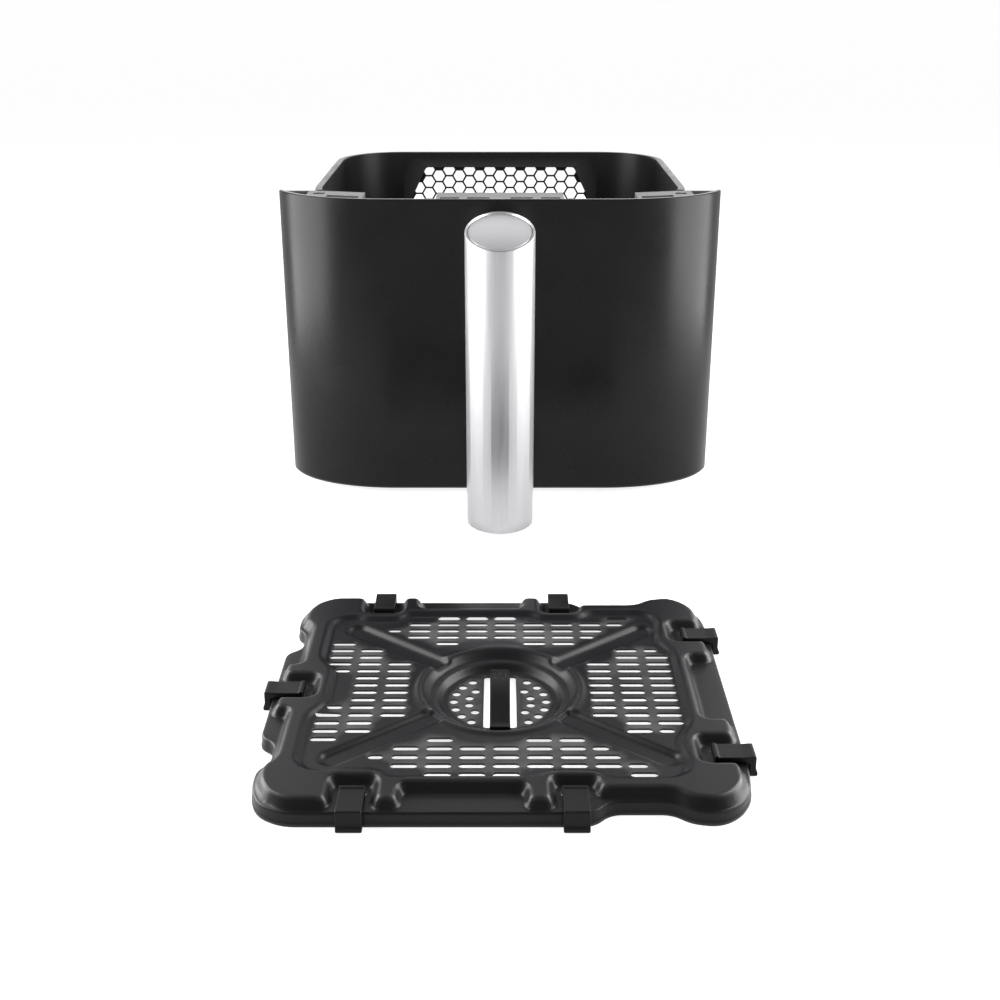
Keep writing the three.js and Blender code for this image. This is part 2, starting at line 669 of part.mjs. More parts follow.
function drawerGroup() {
  const group = new THREE.Group();
  const add = (name, solid, look) => group.add(mesh(name, solid, look));
  add("front_panel", frontPanel(), material.panel);
  add("inner_frame", innerFrame(), material.frame);
  frameScrewPlaces().forEach(([x, z], i) => {
    const screw = screwSolid(frameScrew, x, z, panel.depth, frameScrew.length);
    add(`frame_screw_${i + 1}`, screw, material.steel);
  });
  add("pan", panBody(), material.coated);
  add("vent_grille", ventGrille(), material.coated);
  bothSides.forEach((side) =>
    add(side < 0 ? "pan_bracket_left" : "pan_bracket_right", panBracket(side), material.steel));
  panScrewPlaces().forEach(([x, z], i) => {
    const y = pan.front + drawnIn(z) + 2 * clearance;
    add(`pan_screw_${i + 1}`, screwSolid(panScrew, x, z, y, y - panel.wall - clearance - 1), material.steel);
  });
  [[-1, foot.front], [1, foot.front], [-1, foot.back], [1, foot.back]].forEach(([side, y], i) =>
    add(`pan_foot_${i + 1}`, footSolid(side * foot.x, y), material.silicone));
  add("handle_tube", handleTube(), material.tube);
  add("handle_top_cap", handleCap(), material.tube);
  add("handle_bottom_plug", handlePlug(), material.frame);
  add("handle_core", handleCore(), material.frame);
  add("handle_post_lower", handlePost(post.lower), material.frame);
  add("handle_post_upper", handlePost(post.upper), material.frame);
  add("handle_backing_plate", backingPlate(), material.steel);
  handleScrewPlaces().forEach((z, i) => {
    const y = backingBack + clearance;
    add(`handle_screw_${i + 1}`, screwSolid(handleScrew, 0, z, y, y - post.seat + handleScrew.depth - 1),
      material.steel);
  });
  return group;
}

function plateGroup() {
  const group = new THREE.Group();
  group.add(mesh("crisper_plate", plateSheet(), material.plate));
  clipPlaces().forEach(({ name, stand }) => group.add(mesh(name, stand(clipSolid()), material.silicone)));
  group.add(mesh("lift_handle", liftHandle(), material.silicone));
  return group;
}

const set = new THREE.Group();
const drawer = drawerGroup();
const plate = plateGroup();
const frontEnd = -plateGap - plateSize.depth - clip.reach;
const backEnd = pan.back + pan.rimWidth;
const middle = (frontEnd + backEnd) / 2;
drawer.position.y = -middle;
plate.position.y = -plateGap - middle;
set.add(drawer, plate);

export default set;
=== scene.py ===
import math
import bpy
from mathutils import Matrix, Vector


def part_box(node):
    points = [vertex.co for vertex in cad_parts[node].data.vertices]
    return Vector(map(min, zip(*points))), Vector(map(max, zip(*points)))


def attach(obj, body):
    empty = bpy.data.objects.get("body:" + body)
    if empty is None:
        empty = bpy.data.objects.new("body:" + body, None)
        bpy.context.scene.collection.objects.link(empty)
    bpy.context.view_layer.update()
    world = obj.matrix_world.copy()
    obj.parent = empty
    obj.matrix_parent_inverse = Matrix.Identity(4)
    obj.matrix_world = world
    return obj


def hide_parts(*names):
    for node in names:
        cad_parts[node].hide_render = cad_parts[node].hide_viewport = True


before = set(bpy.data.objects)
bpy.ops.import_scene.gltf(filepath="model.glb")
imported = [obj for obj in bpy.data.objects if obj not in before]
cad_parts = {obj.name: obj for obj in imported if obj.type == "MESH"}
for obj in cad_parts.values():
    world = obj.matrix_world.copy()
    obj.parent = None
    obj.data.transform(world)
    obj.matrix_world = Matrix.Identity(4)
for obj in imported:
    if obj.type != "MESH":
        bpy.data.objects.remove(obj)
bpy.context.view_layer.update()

from types import SimpleNamespace

import bmesh
import bpy
import numpy as np
from bpy.props import FloatProperty, FloatVectorProperty, IntProperty, PointerProperty
from bpy.types import Operator, Panel, PropertyGroup
from mathutils import Matrix, Vector
from mathutils.geometry import delaunay_2d_cdt

bl_info = {
    "name": "Air fryer drawer",
    "version": (1, 0, 0),
    "blender": (4, 5, 0),
    "location": "3D View > Sidebar > Air fryer drawer",
    "description": "Builds the drawer of an air fryer and its crisper plate round a packed frame",
    "category": "Object",
}

# Sizes in the functions below are millimetres. They turn to metres when a mesh is made.
MM = 0.001
# Gap between pieces that touch in the real thing.
FIT = 0.3
# How far a cutting tool goes past the face that it opens.
PAST = 8.0
# Radius of the shank and height of the head of each kind of screw.
SHANKS = {"handle_screw": 2.0, "pan_screw": 1.8, "frame_screw": 1.5}
HEADS = {"handle_screw": 2.3, "pan_screw": 2.2, "frame_screw": 2.0}
SCREWS_OF_A_KIND = range(1, 5)


# ---------------------------------------------------------------- places from the frame
def corners(node):
    """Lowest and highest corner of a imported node, in millimetres."""
    low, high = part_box(node)
    return low / MM, high / MM


def middle_of(node):
    low, high = corners(node)
    return (low + high) / 2


PANEL_LOW, PANEL_HIGH = corners("front_panel")
PAN_LOW, PAN_HIGH = corners("pan")
HANDLE_LOW, HANDLE_HIGH = corners("handle_tube")
PLATE_LOW, PLATE_HIGH = corners("crisper_plate")
FRONT = PANEL_LOW.y
PLATE_MIDDLE = middle_of("crisper_plate")


# ---------------------------------------------------------------- colours and sizes
def linear(hex_colour):
    """An sRGB hex colour as linear red, green and blue, with full alpha."""
    channels = [int(hex_colour[i : i + 2], 16) / 255 for i in (1, 3, 5)]
    lit = [c / 12.92 if c <= 0.04045 else ((c + 0.055) / 1.055) ** 2.4 for c in channels]
    return (*lit, 1.0)


def length(name, description, millimetres):
    metres = millimetres * MM
    return FloatProperty(
        name=name, description=description, default=metres, min=0.0, precision=4, subtype="DISTANCE"
    )


def in_millimetres(group):
    """A group's numbers by name, its lengths in millimetres."""
    values = {}
    for prop in group.bl_rna.properties:
        if prop.type in {"FLOAT", "INT"}:
            value = getattr(group, prop.identifier)
            values[prop.identifier] = value / MM if prop.unit == "LENGTH" else value
    return SimpleNamespace(**values)


def colour(name, description, hex_colour):
    return FloatVectorProperty(
        name=name, description=description, default=linear(hex_colour), subtype="COLOR", size=4, min=0, max=1
    )


class FrontSizes(PropertyGroup):
    """Sizes of the drawer's front"""

    flat_half: length("Flat half", "Half the width of the straight middle of the panel", 70.0)
    turn_depth: length("Turn depth", "Depth of the quarter ellipse at each end of the panel", 48.0)
    wall: length("Wall", "Thickness of the panel's shell", 2.8)
    top_round: length("Top round", "Radius of the panel's top outer edge", 0.9)
    bottom_round: length("Bottom round", "Radius of the panel's bottom outer edge", 2.4)
    floor: length("Floor", "Thickness of the panel's floor", 2.5)
    boss: length("Boss", "Radius of the bosses that the frame is screwed to", 3.6)
    frame_wall: length("Frame wall", "Thickness of the inner frame's back wall", 2.0)
    pan_gap: length("Pan gap", "Gap between the panel's floor and the pan's wall at the rim", 1.5)


class PanSizes(PropertyGroup):
    """Sizes of the pan and its vent"""

    corner: length("Corner", "Radius of the pan's upright corners, inside the rim", 41.0)
    draft: length("Draft", "How far the walls draw in towards the floor", 3.0)
    wall: length("Wall", "Thickness of the sheet", 1.2)
    floor_round: length("Floor round", "Radius between the wall and the floor", 12.0)
    rim_width: length("Rim width", "Width of the rim outside the inner wall", 4.5)
    rim_height: length("Rim height", "Height of the rim", 3.0)
    front_drop: length("Front drop", "How much lower the front edge is cut", 12.3)
    vent_below_rim: length("Vent below rim", "From the rim down to the vent window", 11.5)
    vent_height: length("Vent height", "Height of the vent window", 52.0)
    vent_top_half: length("Vent top half", "Half the width of the window at its top", 57.0)
    vent_wide_half: length("Vent wide half", "Half the width of the window where it is widest", 74.0)
    vent_wide_drop: length("Vent wide drop", "From the window's top to where it is widest", 35.0)
    vent_frame: length("Vent frame", "Width of the grille's edge round the window", 6.0)
    cell_pitch: length("Cell pitch", "Distance between the hexagons", 9.1)
    cell_bar: length("Cell bar", "Width of the bars between the hexagons", 1.3)
    cell_rise: length("Cell rise", "How far the middle cell is above the window's middle", 1.2)


class HandleSizes(PropertyGroup):
    """Sizes of the handle"""

    wall: length("Wall", "Thickness of the tube", 1.6)
    cut_angle: FloatProperty(
        name="Cut angle", description="Slope of the top", default=math.radians(20), unit="ROTATION"
    )
    facets: IntProperty(name="Facets", description="Flat facets round the lower end", default=24, min=8)
    flute_top: length("Flute top", "Height at which the facets begin", 120.0)
    cap_recess: length("Cap recess", "How deep the top disc sits", 0.5)
    cap_thickness: length("Cap thickness", "Thickness of the top disc", 3.0)
    edge: length("Edge", "Chamfer on the lower end of the tube", 0.35)
    top_round: length("Top round", "Radius of the tube's top edge", 1.3)


class PlateSizes(PropertyGroup):
    """Sizes of the crisper plate"""

    sheet: length("Sheet", "Thickness of the sheet", 1.0)
    flange: length("Flange", "Height of the flange", 6.5)
    field: length("Field", "Height of the slotted field", 9.0)
    ring: length("Ring", "Height of the raised ring round the field", 11.5)
    groove: length("Groove", "Height of the floor of the grooves", 6.8)
    ledge: length("Ledge", "Height of the ledge in the well", 5.6)
    floor: length("Well floor", "Height of the floor of the well", 1.8)
    bead: length("Bead", "How far the bead round the well stands up", 1.0)
    slot_length: length("Slot length", "Length of a full slot", 12.0)
    slot_width: length("Slot width", "Width of a slot", 3.4)
    slot_pitch_x: length("Slot pitch across", "Distance between slots across the plate", 14.75)
    slot_pitch_y: length("Slot pitch along", "Distance between rows of slots", 6.6)
    grain: length("Grain", "Spacing of the points that the pressed shape is made of", 1.0)


class Finishes(PropertyGroup):
    """Colours of the finishes"""

    panel: colour("Panel", "Moulded front of the drawer", "#080809")
    inner_frame: colour("Inner frame", "Moulded part inside the front", "#3e3e40")
    pan: colour("Pan", "Coating of the pan", "#111112")
    plate: colour("Plate", "Coating of the crisper plate", "#101012")
    aluminium: colour("Aluminium", "Handle tube", "#969698")
    cap: colour("Cap", "Disc in the top of the handle", "#b2b2b4")
    steel: colour("Steel", "Screws and brackets", "#a8a9ab")
    silicone: colour("Silicone", "Clips, strap and feet", "#060606")
    floor: colour("Floor", "Studio floor", "#a8a8a8")


# ---------------------------------------------------------------- outlines, all anticlockwise
def rounded_rectangle(x0, x1, y0, y1, radius, steps=12):
    """The four sides and corner arcs of a rectangle."""
    centres = [
        (x1 - radius, y0 + radius),
        (x1 - radius, y1 - radius),
        (x0 + radius, y1 - radius),
        (x0 + radius, y0 + radius),
    ]
    points = []
    for quarter, (x, y) in enumerate(centres):
        for i in range(steps + 1):
            angle = (quarter - 1 + i / steps) * math.pi / 2
            points.append((x + radius * math.cos(angle), y + radius * math.sin(angle)))
    return points


def stretch(start, end, step):
    """Points from one point towards another, about a step apart, without the last."""
    count = max(1, round(math.dist(start, end) / step))
    return [tuple(np.add(start, np.subtract(end, start) * i / count)) for i in range(count)]


def spaced(outline, step):
    """The same outline with its long sides divided."""
    following = outline[1:] + outline[:1]
    return [point for start, end in zip(outline, following) for point in stretch(start, end, step)]


def softened(outline, reach, steps=6):
    """Rounds each corner, starting at most reach before it and at most halfway along its sides."""
    points = []
    count = len(outline)
    for i, corner in enumerate(outline):
        corner = Vector(corner)
        before = Vector(outline[i - 1]) - corner
        after = Vector(outline[(i + 1) % count]) - corner
        trim = min(reach, before.length / 2, after.length / 2)
        start = corner + before.normalized() * trim
        end = corner + after.normalized() * trim
        for step in range(steps + 1):
            t = step / steps
            point = start * (1 - t) ** 2 + corner * 2 * t * (1 - t) + end * t**2
            points.append((point.x, point.y))
    return [p for i, p in enumerate(points) if math.dist(p, points[i - 1]) > 1e-4]


def offset(outline, distance):
    """Moves every side of an outline outwards by the same distance."""
    points = np.array(outline)
    along = np.roll(points, -1, axis=0) - points
    along /= np.linalg.norm(along, axis=1)[:, None]
    outward = np.stack([along[:, 1], -along[:, 0]], axis=1)
    both = outward + np.roll(outward, 1, axis=0)
    both /= np.linalg.norm(both, axis=1)[:, None]
    spread = np.maximum(0.5, (both * outward).sum(axis=1))
    return [tuple(p) for p in points + both * (distance / spread)[:, None]]


def mirrored_back_to_front(half):
    """An outline listed for the back half from left to right, with its mirror image in front."""
    return [(x, -y) for x, y in half] + [(x, y) for x, y in reversed(half)]


def depth_inside(x, y, outline):
    """Distance from each point to an outline: positive inside it, negative outside."""
    nearest = np.full(x.shape, np.inf)
    inside = np.zeros(x.shape, bool)
    for (ax, ay), (bx, by) in zip(outline, outline[1:] + outline[:1]):
        ex, ey = bx - ax, by - ay
        t = np.clip(((x - ax) * ex + (y - ay) * ey) / (ex * ex + ey * ey), 0, 1)
        nearest = np.minimum(nearest, (x - ax - t * ex) ** 2 + (y - ay - t * ey) ** 2)
        if ey:
            inside ^= ((ay > y) != (by > y)) & (x < ax + ex * (y - ay) / ey)
    return np.where(inside, 1, -1) * np.sqrt(nearest)


def rise(distance, width):
    """0 outside an edge and 1 inside it, with a smooth slope across the edge."""
    t = np.clip(distance / width + 0.5, 0, 1)
    return t * t * (3 - 2 * t)


# ---------------------------------------------------------------- meshes
def new_piece(name, vertices, faces, at=(0, 0, 0)):
    """A mesh object from points in millimetres round a place in millimetres."""
    mesh = bpy.data.meshes.new(name)
    place = Vector(at)
    mesh.from_pydata([(Vector(v) + place) * MM for v in vertices], [], faces)
    mesh.validate()
    piece = bpy.data.objects.new(name, mesh)
    bpy.context.scene.collection.objects.link(piece)
    return piece


def tidied(piece, merge=0.001):
    """Welds doubled points and turns every face outwards."""
    work = bmesh.new()
    work.from_mesh(piece.data)
    bmesh.ops.remove_doubles(work, verts=work.verts, dist=merge * MM)
    bmesh.ops.recalc_face_normals(work, faces=work.faces)
    work.to_mesh(piece.data)
    work.free()
    return piece


def skin(name, rings, closed=False, at=(0, 0, 0)):
    """Skins rings of as many points each. Either the last joins the first, or both are capped."""
    count = len(rings[0])
    vertices = [point for ring in rings for point in ring]
    faces = []
    spans = len(rings) if closed else len(rings) - 1
    for r in range(spans):
        here, there = r * count, (r + 1) % len(rings) * count
        for i in range(count):
            j = (i + 1) % count
            faces.append((here + i, here + j, there + j, there + i))
    if not closed:
        faces.append(tuple(range(count)))
        faces.append(tuple(range((len(rings) - 1) * count, len(rings) * count)))
    return tidied(new_piece(name, vertices, faces, at))


def slab(name, outline, low, high, at=(0, 0, 0)):
    """An outline as a flat piece between two heights."""
    return skin(name, [[(x, y, z) for x, y in outline] for z in (low, high)], at=at)


def turned(name, profile, sides=48, at=(0, 0, 0)):
    """A profile of radius and height, turned about +Z. It starts and ends on the axis."""
    rings = []
    angles = [2 * math.pi * i / sides for i in range(sides)]
    for radius, height in profile:
        # A ring on the axis keeps a hair's width, so that its points stay apart until they are welded.
        wide = max(radius, 1e-4)
        rings.append([(wide * math.cos(a), wide * math.sin(a), height) for a in angles])
    return skin(name, rings, at=at)


def settle(piece):
    """Applies a piece's modifiers."""
    graph = bpy.context.evaluated_depsgraph_get()
    graph.update()
    made = bpy.data.meshes.new_from_object(piece.evaluated_get(graph))
    piece.modifiers.clear()
    piece.data = made
    return piece


def combine(piece, other, operation):
    """Joins another piece to this one, cuts it away, or keeps the part that they share."""
    step = piece.modifiers.new("combine", "BOOLEAN")
    step.operation = operation
    step.solver = "EXACT"
    step.object = other
    settle(piece)
    bpy.data.objects.remove(other)
    return piece


def thicken(piece, thickness):
    """Gives a sheet its thickness, on the side away from its faces."""
    step = piece.modifiers.new("thickness", "SOLIDIFY")
    step.thickness = thickness * MM
    step.offset = -1
    step.use_even_offset = False
    return settle(piece)


def round_edges(piece, width, segments=3, angle=35):
    """Rounds every edge sharper than an angle."""
    step = piece.modifiers.new("round", "BEVEL")
    step.width = width * MM
    step.segments = segments
    step.limit_method = "ANGLE"
    step.angle_limit = math.radians(angle)
    step.harden_normals = True
    piece.data.shade_smooth()
    return piece


def shade(piece, angle=40):
    """Shades a piece smoothly, except across edges sharper than an angle."""
    piece.data.shade_smooth()
    piece.data.set_sharp_from_angle(angle=math.radians(angle))
    return piece


def cut_sheet(outline, holes, seeds=()):
    """Points and triangles that fill an outline and leave its holes open."""
    points, edges = [], []
    for loop in (outline, *holes):
        first = len(points)
        points += loop
        edges += [(first + i, first + (i + 1) % len(loop)) for i in range(len(loop))]
    points += seeds
    inside_only = 1
    found = delaunay_2d_cdt([Vector(p) for p in points], edges, [], inside_only, 1e-6)
    flat = np.array([tuple(p) for p in found[0]])
    triangles = np.array(found[2])
    centres = flat[triangles].mean(axis=1)
    keep = np.ones(len(triangles), bool)
    for hole in holes:
        low, high = np.min(hole, axis=0), np.max(hole, axis=0)
        near = np.nonzero(((centres > low) & (centres < high)).all(axis=1))[0]
        keep[near] &= depth_inside(centres[near, 0], centres[near, 1], hole) < 0
    return flat, triangles[keep]


def install(piece, body, slot, material, *nodes):
    """Gives a piece its finish and its place in the frame."""
    piece.data.materials.clear()
    piece.data.materials.append(material)
    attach(piece, body)
    if nodes:
        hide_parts(*nodes)
    return piece


def dress(node, material, edge):
    """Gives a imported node, which keeps its shape, a finish and rounded edges."""
    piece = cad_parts[node]
    piece.data.materials.clear()
    piece.data.materials.append(material)
    return round_edges(piece, edge, segments=2)


# ---------------------------------------------------------------- materials
def add_node(tree, kind, settings=None, links=None):
    """Adds a node, sets its properties or inputs by name, and links its inputs to other nodes' outputs."""
    node = tree.nodes.new(kind)
    inputs = {socket.identifier: socket for socket in node.inputs}
    for key, value in (settings or {}).items():
        if key in inputs:
            inputs[key].default_value = value
        else:
            setattr(node, key, value)
    for key, source in (links or {}).items():
        tree.links.new(source, inputs[key])
    return node


def new_material(name):
    """A material with an empty tree, its tree, and coordinates in millimetres."""
    made = bpy.data.materials.new(name)
    made.use_nodes = True
    made.node_tree.nodes.clear()
    tree = made.node_tree
    place = add_node(tree, "ShaderNodeTexCoord").outputs["Object"]
    mapping = add_node(tree, "ShaderNodeMapping", {"Scale": (1000, 1000, 1000)}, {"Vector": place})
    return made, tree, mapping.outputs["Vector"]


def noise(tree, where, size, detail=3.0, roughness=0.5):
    """Noise whose lumps are about a size in millimetres."""
    settings = {"Scale": 1 / size, "Detail": detail, "Roughness": roughness}
    return add_node(tree, "ShaderNodeTexNoise", settings, {"Vector": where}).outputs["Fac"]


def between(tree, amount, low, high):
    """Turns a 0 to 1 amount into a value between two others."""
    settings = {"From Min": 0.3, "From Max": 0.7, "To Min": low, "To Max": high}
    return add_node(tree, "ShaderNodeMapRange", settings, {"Value": amount}).outputs["Result"]


def tinted(tree, base, other, amount):
    """A colour between two, by an amount."""
    settings = {"data_type": "RGBA", "A_Color": base, "B_Color": other}
    mix = add_node(tree, "ShaderNodeMix", settings, {"Factor_Float": amount})
    return next(socket for socket in mix.outputs if socket.identifier == "Result_Color")


def close_material(tree, settings, links, height, depth):
    """Ends a tree in its shader, with a bump whose depth is in millimetres."""
    bump = add_node(
        tree, "ShaderNodeBump", {"Strength": 1.0, "Distance": depth * MM}, {"Height": height}
    ).outputs["Normal"]
    shader = add_node(tree, "ShaderNodeBsdfPrincipled", settings, {**links, "Normal": bump})
    add_node(tree, "ShaderNodeOutputMaterial", None, {"Surface": shader.outputs["BSDF"]})


def lighter(value, share):
    """A linear colour, a share of the way to white."""
    return (*[c + (1 - c) * share for c in value[:3]], 1.0)


def edge_wear_and_highlight(tree):
    """1 on raised edges, 0 on flat and hollow ground: where the coating is drawn paler, partly as wear and
    partly as a painted highlight.
    """
    raised_edges = add_node(tree, "ShaderNodeNewGeometry").outputs["Pointiness"]
    settings = {"From Min": 0.52, "From Max": 0.6, "To Min": 0.0, "To Max": 1.0}
    return add_node(tree, "ShaderNodeMapRange", settings, {"Value": raised_edges}).outputs["Result"]


def moulded_pbt(name, value, roughness, shine):
    """PBT moulded in a spark-eroded tool: satin, with a fine even grain that breaks up the reflections."""
    made, tree, where = new_material(name)
    # The real grain is 0.15 mm. It is drawn at 0.5 mm, so that it shows.
    grain = noise(tree, where, 0.5, 2.0)
    cloud = noise(tree, where, 35.0)
    links = {
        "Base Color": tinted(tree, tuple(value), lighter(value, 0.003), cloud),
        "Roughness": between(tree, cloud, roughness - 0.03, roughness + 0.03),
    }
    settings = {"IOR": 1.5, "Metallic": 0.0, "Specular IOR Level": shine}
    close_material(tree, settings, links, grain, 0.012)
    return made


def sprayed_coating(name, value, roughness, peel, shine):
    """PTFE sprayed on steel and baked: a soft gloss over a slight orange peel, paler on raised edges, partly
    as wear and partly as a painted highlight.
    """
    made, tree, where = new_material(name)
    lumps = noise(tree, where, peel, 2.0)
    cloud = noise(tree, where, 22.0)
    links = {
        # Raised edges are painted paler: partly wear of the coating, partly a painted highlight along the
        # edges.
        "Base Color": tinted(tree, tuple(value), lighter(value, 0.05), edge_wear_and_highlight(tree)),
        "Roughness": between(tree, cloud, roughness - 0.04, roughness + 0.04),
    }
    settings = {"IOR": 1.38, "Metallic": 0.0, "Specular IOR Level": shine}
    close_material(tree, settings, links, lumps, 0.014)
    return made


def brushed_aluminium(name, value):
    """Aluminium brushed along the tube and clear anodised: hair lines that draw reflections out."""
    made, tree, where = new_material(name)
    # Hair lines about 0.3 mm apart and 40 mm long.
    apart, long = 1 / 0.3, 1 / 40
    drawn = add_node(tree, "ShaderNodeMapping", {"Scale": (apart, apart, long)}, {"Vector": where})
    lines = add_node(
        tree, "ShaderNodeTexNoise", {"Scale": 1.0, "Detail": 4.0}, {"Vector": drawn.outputs["Vector"]}
    ).outputs["Fac"]
    links = {
        "Base Color": tinted(tree, tuple(value), lighter(value, 0.15), lines),
        "Roughness": between(tree, lines, 0.32, 0.42),
    }
    close_material(tree, {"Metallic": 1.0, "Anisotropic": 0.5}, links, lines, 0.004)
    return made


def blasted_aluminium(name, value):
    """Aluminium disc, bead blasted and anodised: an even pale matt face with a fine sparkle."""
    made, tree, where = new_material(name)
    # The beads leave pits of 0.1 mm, drawn at 0.4 mm.
    pits = noise(tree, where, 0.4, 2.0)
    links = {"Roughness": between(tree, pits, 0.42, 0.52)}
    close_material(tree, {"Base Color": tuple(value), "Metallic": 1.0}, links, pits, 0.01)
    return made


def zinc_plated_steel(name, value):
    """Mild steel, zinc plated: a cool dull shine with cloudy patches."""
    made, tree, where = new_material(name)
    cloud = noise(tree, where, 3.0)
    links = {
        "Base Color": tinted(tree, tuple(value), lighter(value, 0.2), cloud),
        "Roughness": between(tree, cloud, 0.28, 0.42),
    }
    close_material(tree, {"Metallic": 1.0}, links, cloud, 0.01)
    return made


def moulded_silicone(name, value):
    """Silicone rubber, compression moulded: deep black and matt, with a faint bloom on its skin."""
    made, tree, where = new_material(name)
    skin_grain = noise(tree, where, 0.7, 3.0)
    bloom = noise(tree, where, 9.0)
    links = {
        "Base Color": tinted(tree, tuple(value), lighter(value, 0.006), bloom),
        "Roughness": between(tree, bloom, 0.42, 0.55),
    }
    settings = {"IOR": 1.41, "Metallic": 0.0, "Specular IOR Level": 0.2}
    close_material(tree, settings, links, skin_grain, 0.015)
    return made


def lit_acrylic(name, value):
    """Opal acrylic table top, lit from below: pale, matt and nearly free of shadows."""
    made, tree, where = new_material(name)
    cloud = noise(tree, where, 60.0)
    links = {"Roughness": between(tree, cloud, 0.85, 0.95)}
    settings = {"Base Color": tuple(value), "Specular IOR Level": 0.1,
                "Emission Color": (1, 1, 1, 1), "Emission Strength": 0.82}
    close_material(tree, settings, links, cloud, 0.01)
    return made


def finish(name):
    """A finish by name, made when it is first asked for."""
    if name in bpy.data.materials:
        return bpy.data.materials[name]
    colours = bpy.context.scene.drawer_finishes
    makers = {
        "pbt_satin_black": lambda: moulded_pbt(name, colours.panel, 0.28, 0.12),
        "pbt_dark_grey": lambda: moulded_pbt(name, colours.inner_frame, 0.5, 0.5),
        "ptfe_black": lambda: sprayed_coating(name, colours.pan, 0.34, 1.6, 0.15),
        "ptfe_charcoal": lambda: sprayed_coating(name, colours.plate, 0.36, 1.2, 0.27),
        "aluminium_brushed": lambda: brushed_aluminium(name, colours.aluminium),
        "aluminium_blasted": lambda: blasted_aluminium(name, colours.cap),
        "steel_zinc_plated": lambda: zinc_plated_steel(name, colours.steel),
        "silicone_black": lambda: moulded_silicone(name, colours.silicone),
        "opal_acrylic": lambda: lit_acrylic(name, colours.floor),
    }
    return makers[name]()


# ---------------------------------------------------------------- drawer front
def panel_line(sizes, inset=0.0, steps=28):
    """The panel's plan from left to right: points and their inward directions."""
    ends = PANEL_HIGH.y - FRONT
    turn = math.acos((sizes.turn_depth - ends) / sizes.turn_depth)
    across = (PANEL_HIGH.x - sizes.flat_half) / math.sin(turn)
    half = [(sizes.flat_half * i / steps, inset, 0.0, 1.0) for i in range(1, steps)]
    for i in range(steps + 1):
        angle = turn * i / steps
        x = sizes.flat_half + (across - inset) * math.sin(angle)
        y = sizes.turn_depth - (sizes.turn_depth - inset) * math.cos(angle)
        slope = Vector((math.sin(angle) / across, -math.cos(angle) / sizes.turn_depth)).normalized()
        half.append((x, y, -slope.x, -slope.y))
    middle = [(0.0, inset, 0.0, 1.0)]
    left = [(-x, y, -nx, ny) for x, y, nx, ny in reversed(half)]
    return left + middle + half


def arc(centre, radius, start, end, steps=5):
    """Points on an arc, its angles in degrees."""
    angles = [math.radians(start + (end - start) * i / steps) for i in range(steps + 1)]
    return [(centre[0] + radius * math.cos(a), centre[1] + radius * math.sin(a)) for a in angles]


def rod(name, node, radius, start, end, sides=24):
    """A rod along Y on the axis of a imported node, between two places."""
    x, _, z = middle_of(node)
    made = turned(name, [(0, start), (radius, start), (radius, end), (0, end)], sides)
    made.data.transform(Matrix.Translation((x * MM, 0, z * MM)) @ Matrix.Rotation(-math.pi / 2, 4, "X"))
    return tidied(made)


def bored_for(piece, kind):
    """Cuts a clearance hole for each of the four screws of a kind."""
    radius = SHANKS[kind] + FIT
    for number in SCREWS_OF_A_KIND:
        node = f"{kind}_{number}"
        low, high = corners(node)
        combine(piece, rod("hole", node, radius, low.y - 1, high.y + 1), "DIFFERENCE")
    return piece


def front_panel(sizes):
    """A curved shell with a rounded top edge, a floor that reaches to the pan, and four screw bosses."""
    low, high = PANEL_LOW.z, PANEL_HIGH.z
    top, foot, wall = sizes.top_round, sizes.bottom_round, sizes.wall
    profile = [
        (wall, low),
        *arc((foot, low + foot), foot, 270, 180),
        *arc((top, high - top), top, 180, 90),
        *arc((wall - top / 2, high - top / 2), top / 2, 90, 0, 3),
    ]
    rings = []
    for x, y, nx, ny in panel_line(sizes):
        rings.append([(x + nx * d, y + ny * d, z) for d, z in profile])
    shell = skin("front_panel_shell", rings, at=(0, FRONT, 0))
    inner = wall / 2
    floor_line = [(x + nx * inner, y + ny * inner) for x, y, nx, ny in panel_line(sizes)]
    floor = slab("panel_floor", floor_line, low + 0.01, low + sizes.floor, at=(0, FRONT, 0))
    around_pan = offset(pan_outline(0), sizes.pan_gap)
    combine(floor, slab("pan_space", around_pan, low - 5, low + 10), "DIFFERENCE")
    combine(shell, floor, "UNION")
    boss_end = corners("inner_frame")[1].y - sizes.frame_wall - FIT
    for number in SCREWS_OF_A_KIND:
        boss = rod("boss", f"frame_screw_{number}", sizes.boss, FRONT, boss_end)
        combine(boss, slab("inside", floor_line, low, high, at=(0, FRONT, 0)), "INTERSECT")
        combine(shell, boss, "UNION")
    bored_for(shell, "frame_screw")
    bored_for(shell, "handle_screw")
    return shade(shell, 40)


# ---------------------------------------------------------------- pan
def pan_sizes():
    return in_millimetres(bpy.context.scene.pan_sizes)


def pan_draft(z):
    """How far the wall has drawn in at a height."""
    return pan_sizes().draft * (PAN_HIGH.z - z) / (PAN_HIGH.z - PAN_LOW.z)


def pan_outline(inset):
    """The pan's inner outline at its rim, drawn in by an inset."""
    sizes = pan_sizes()
    rim = sizes.rim_width + inset
    front = PAN_LOW.y + sizes.wall - pan_draft(PAN_HIGH.z - sizes.front_drop) + inset
    left, right, back = PAN_LOW.x + rim, PAN_HIGH.x - rim, PAN_HIGH.y - rim
    return rounded_rectangle(left, right, front, back, sizes.corner - inset)


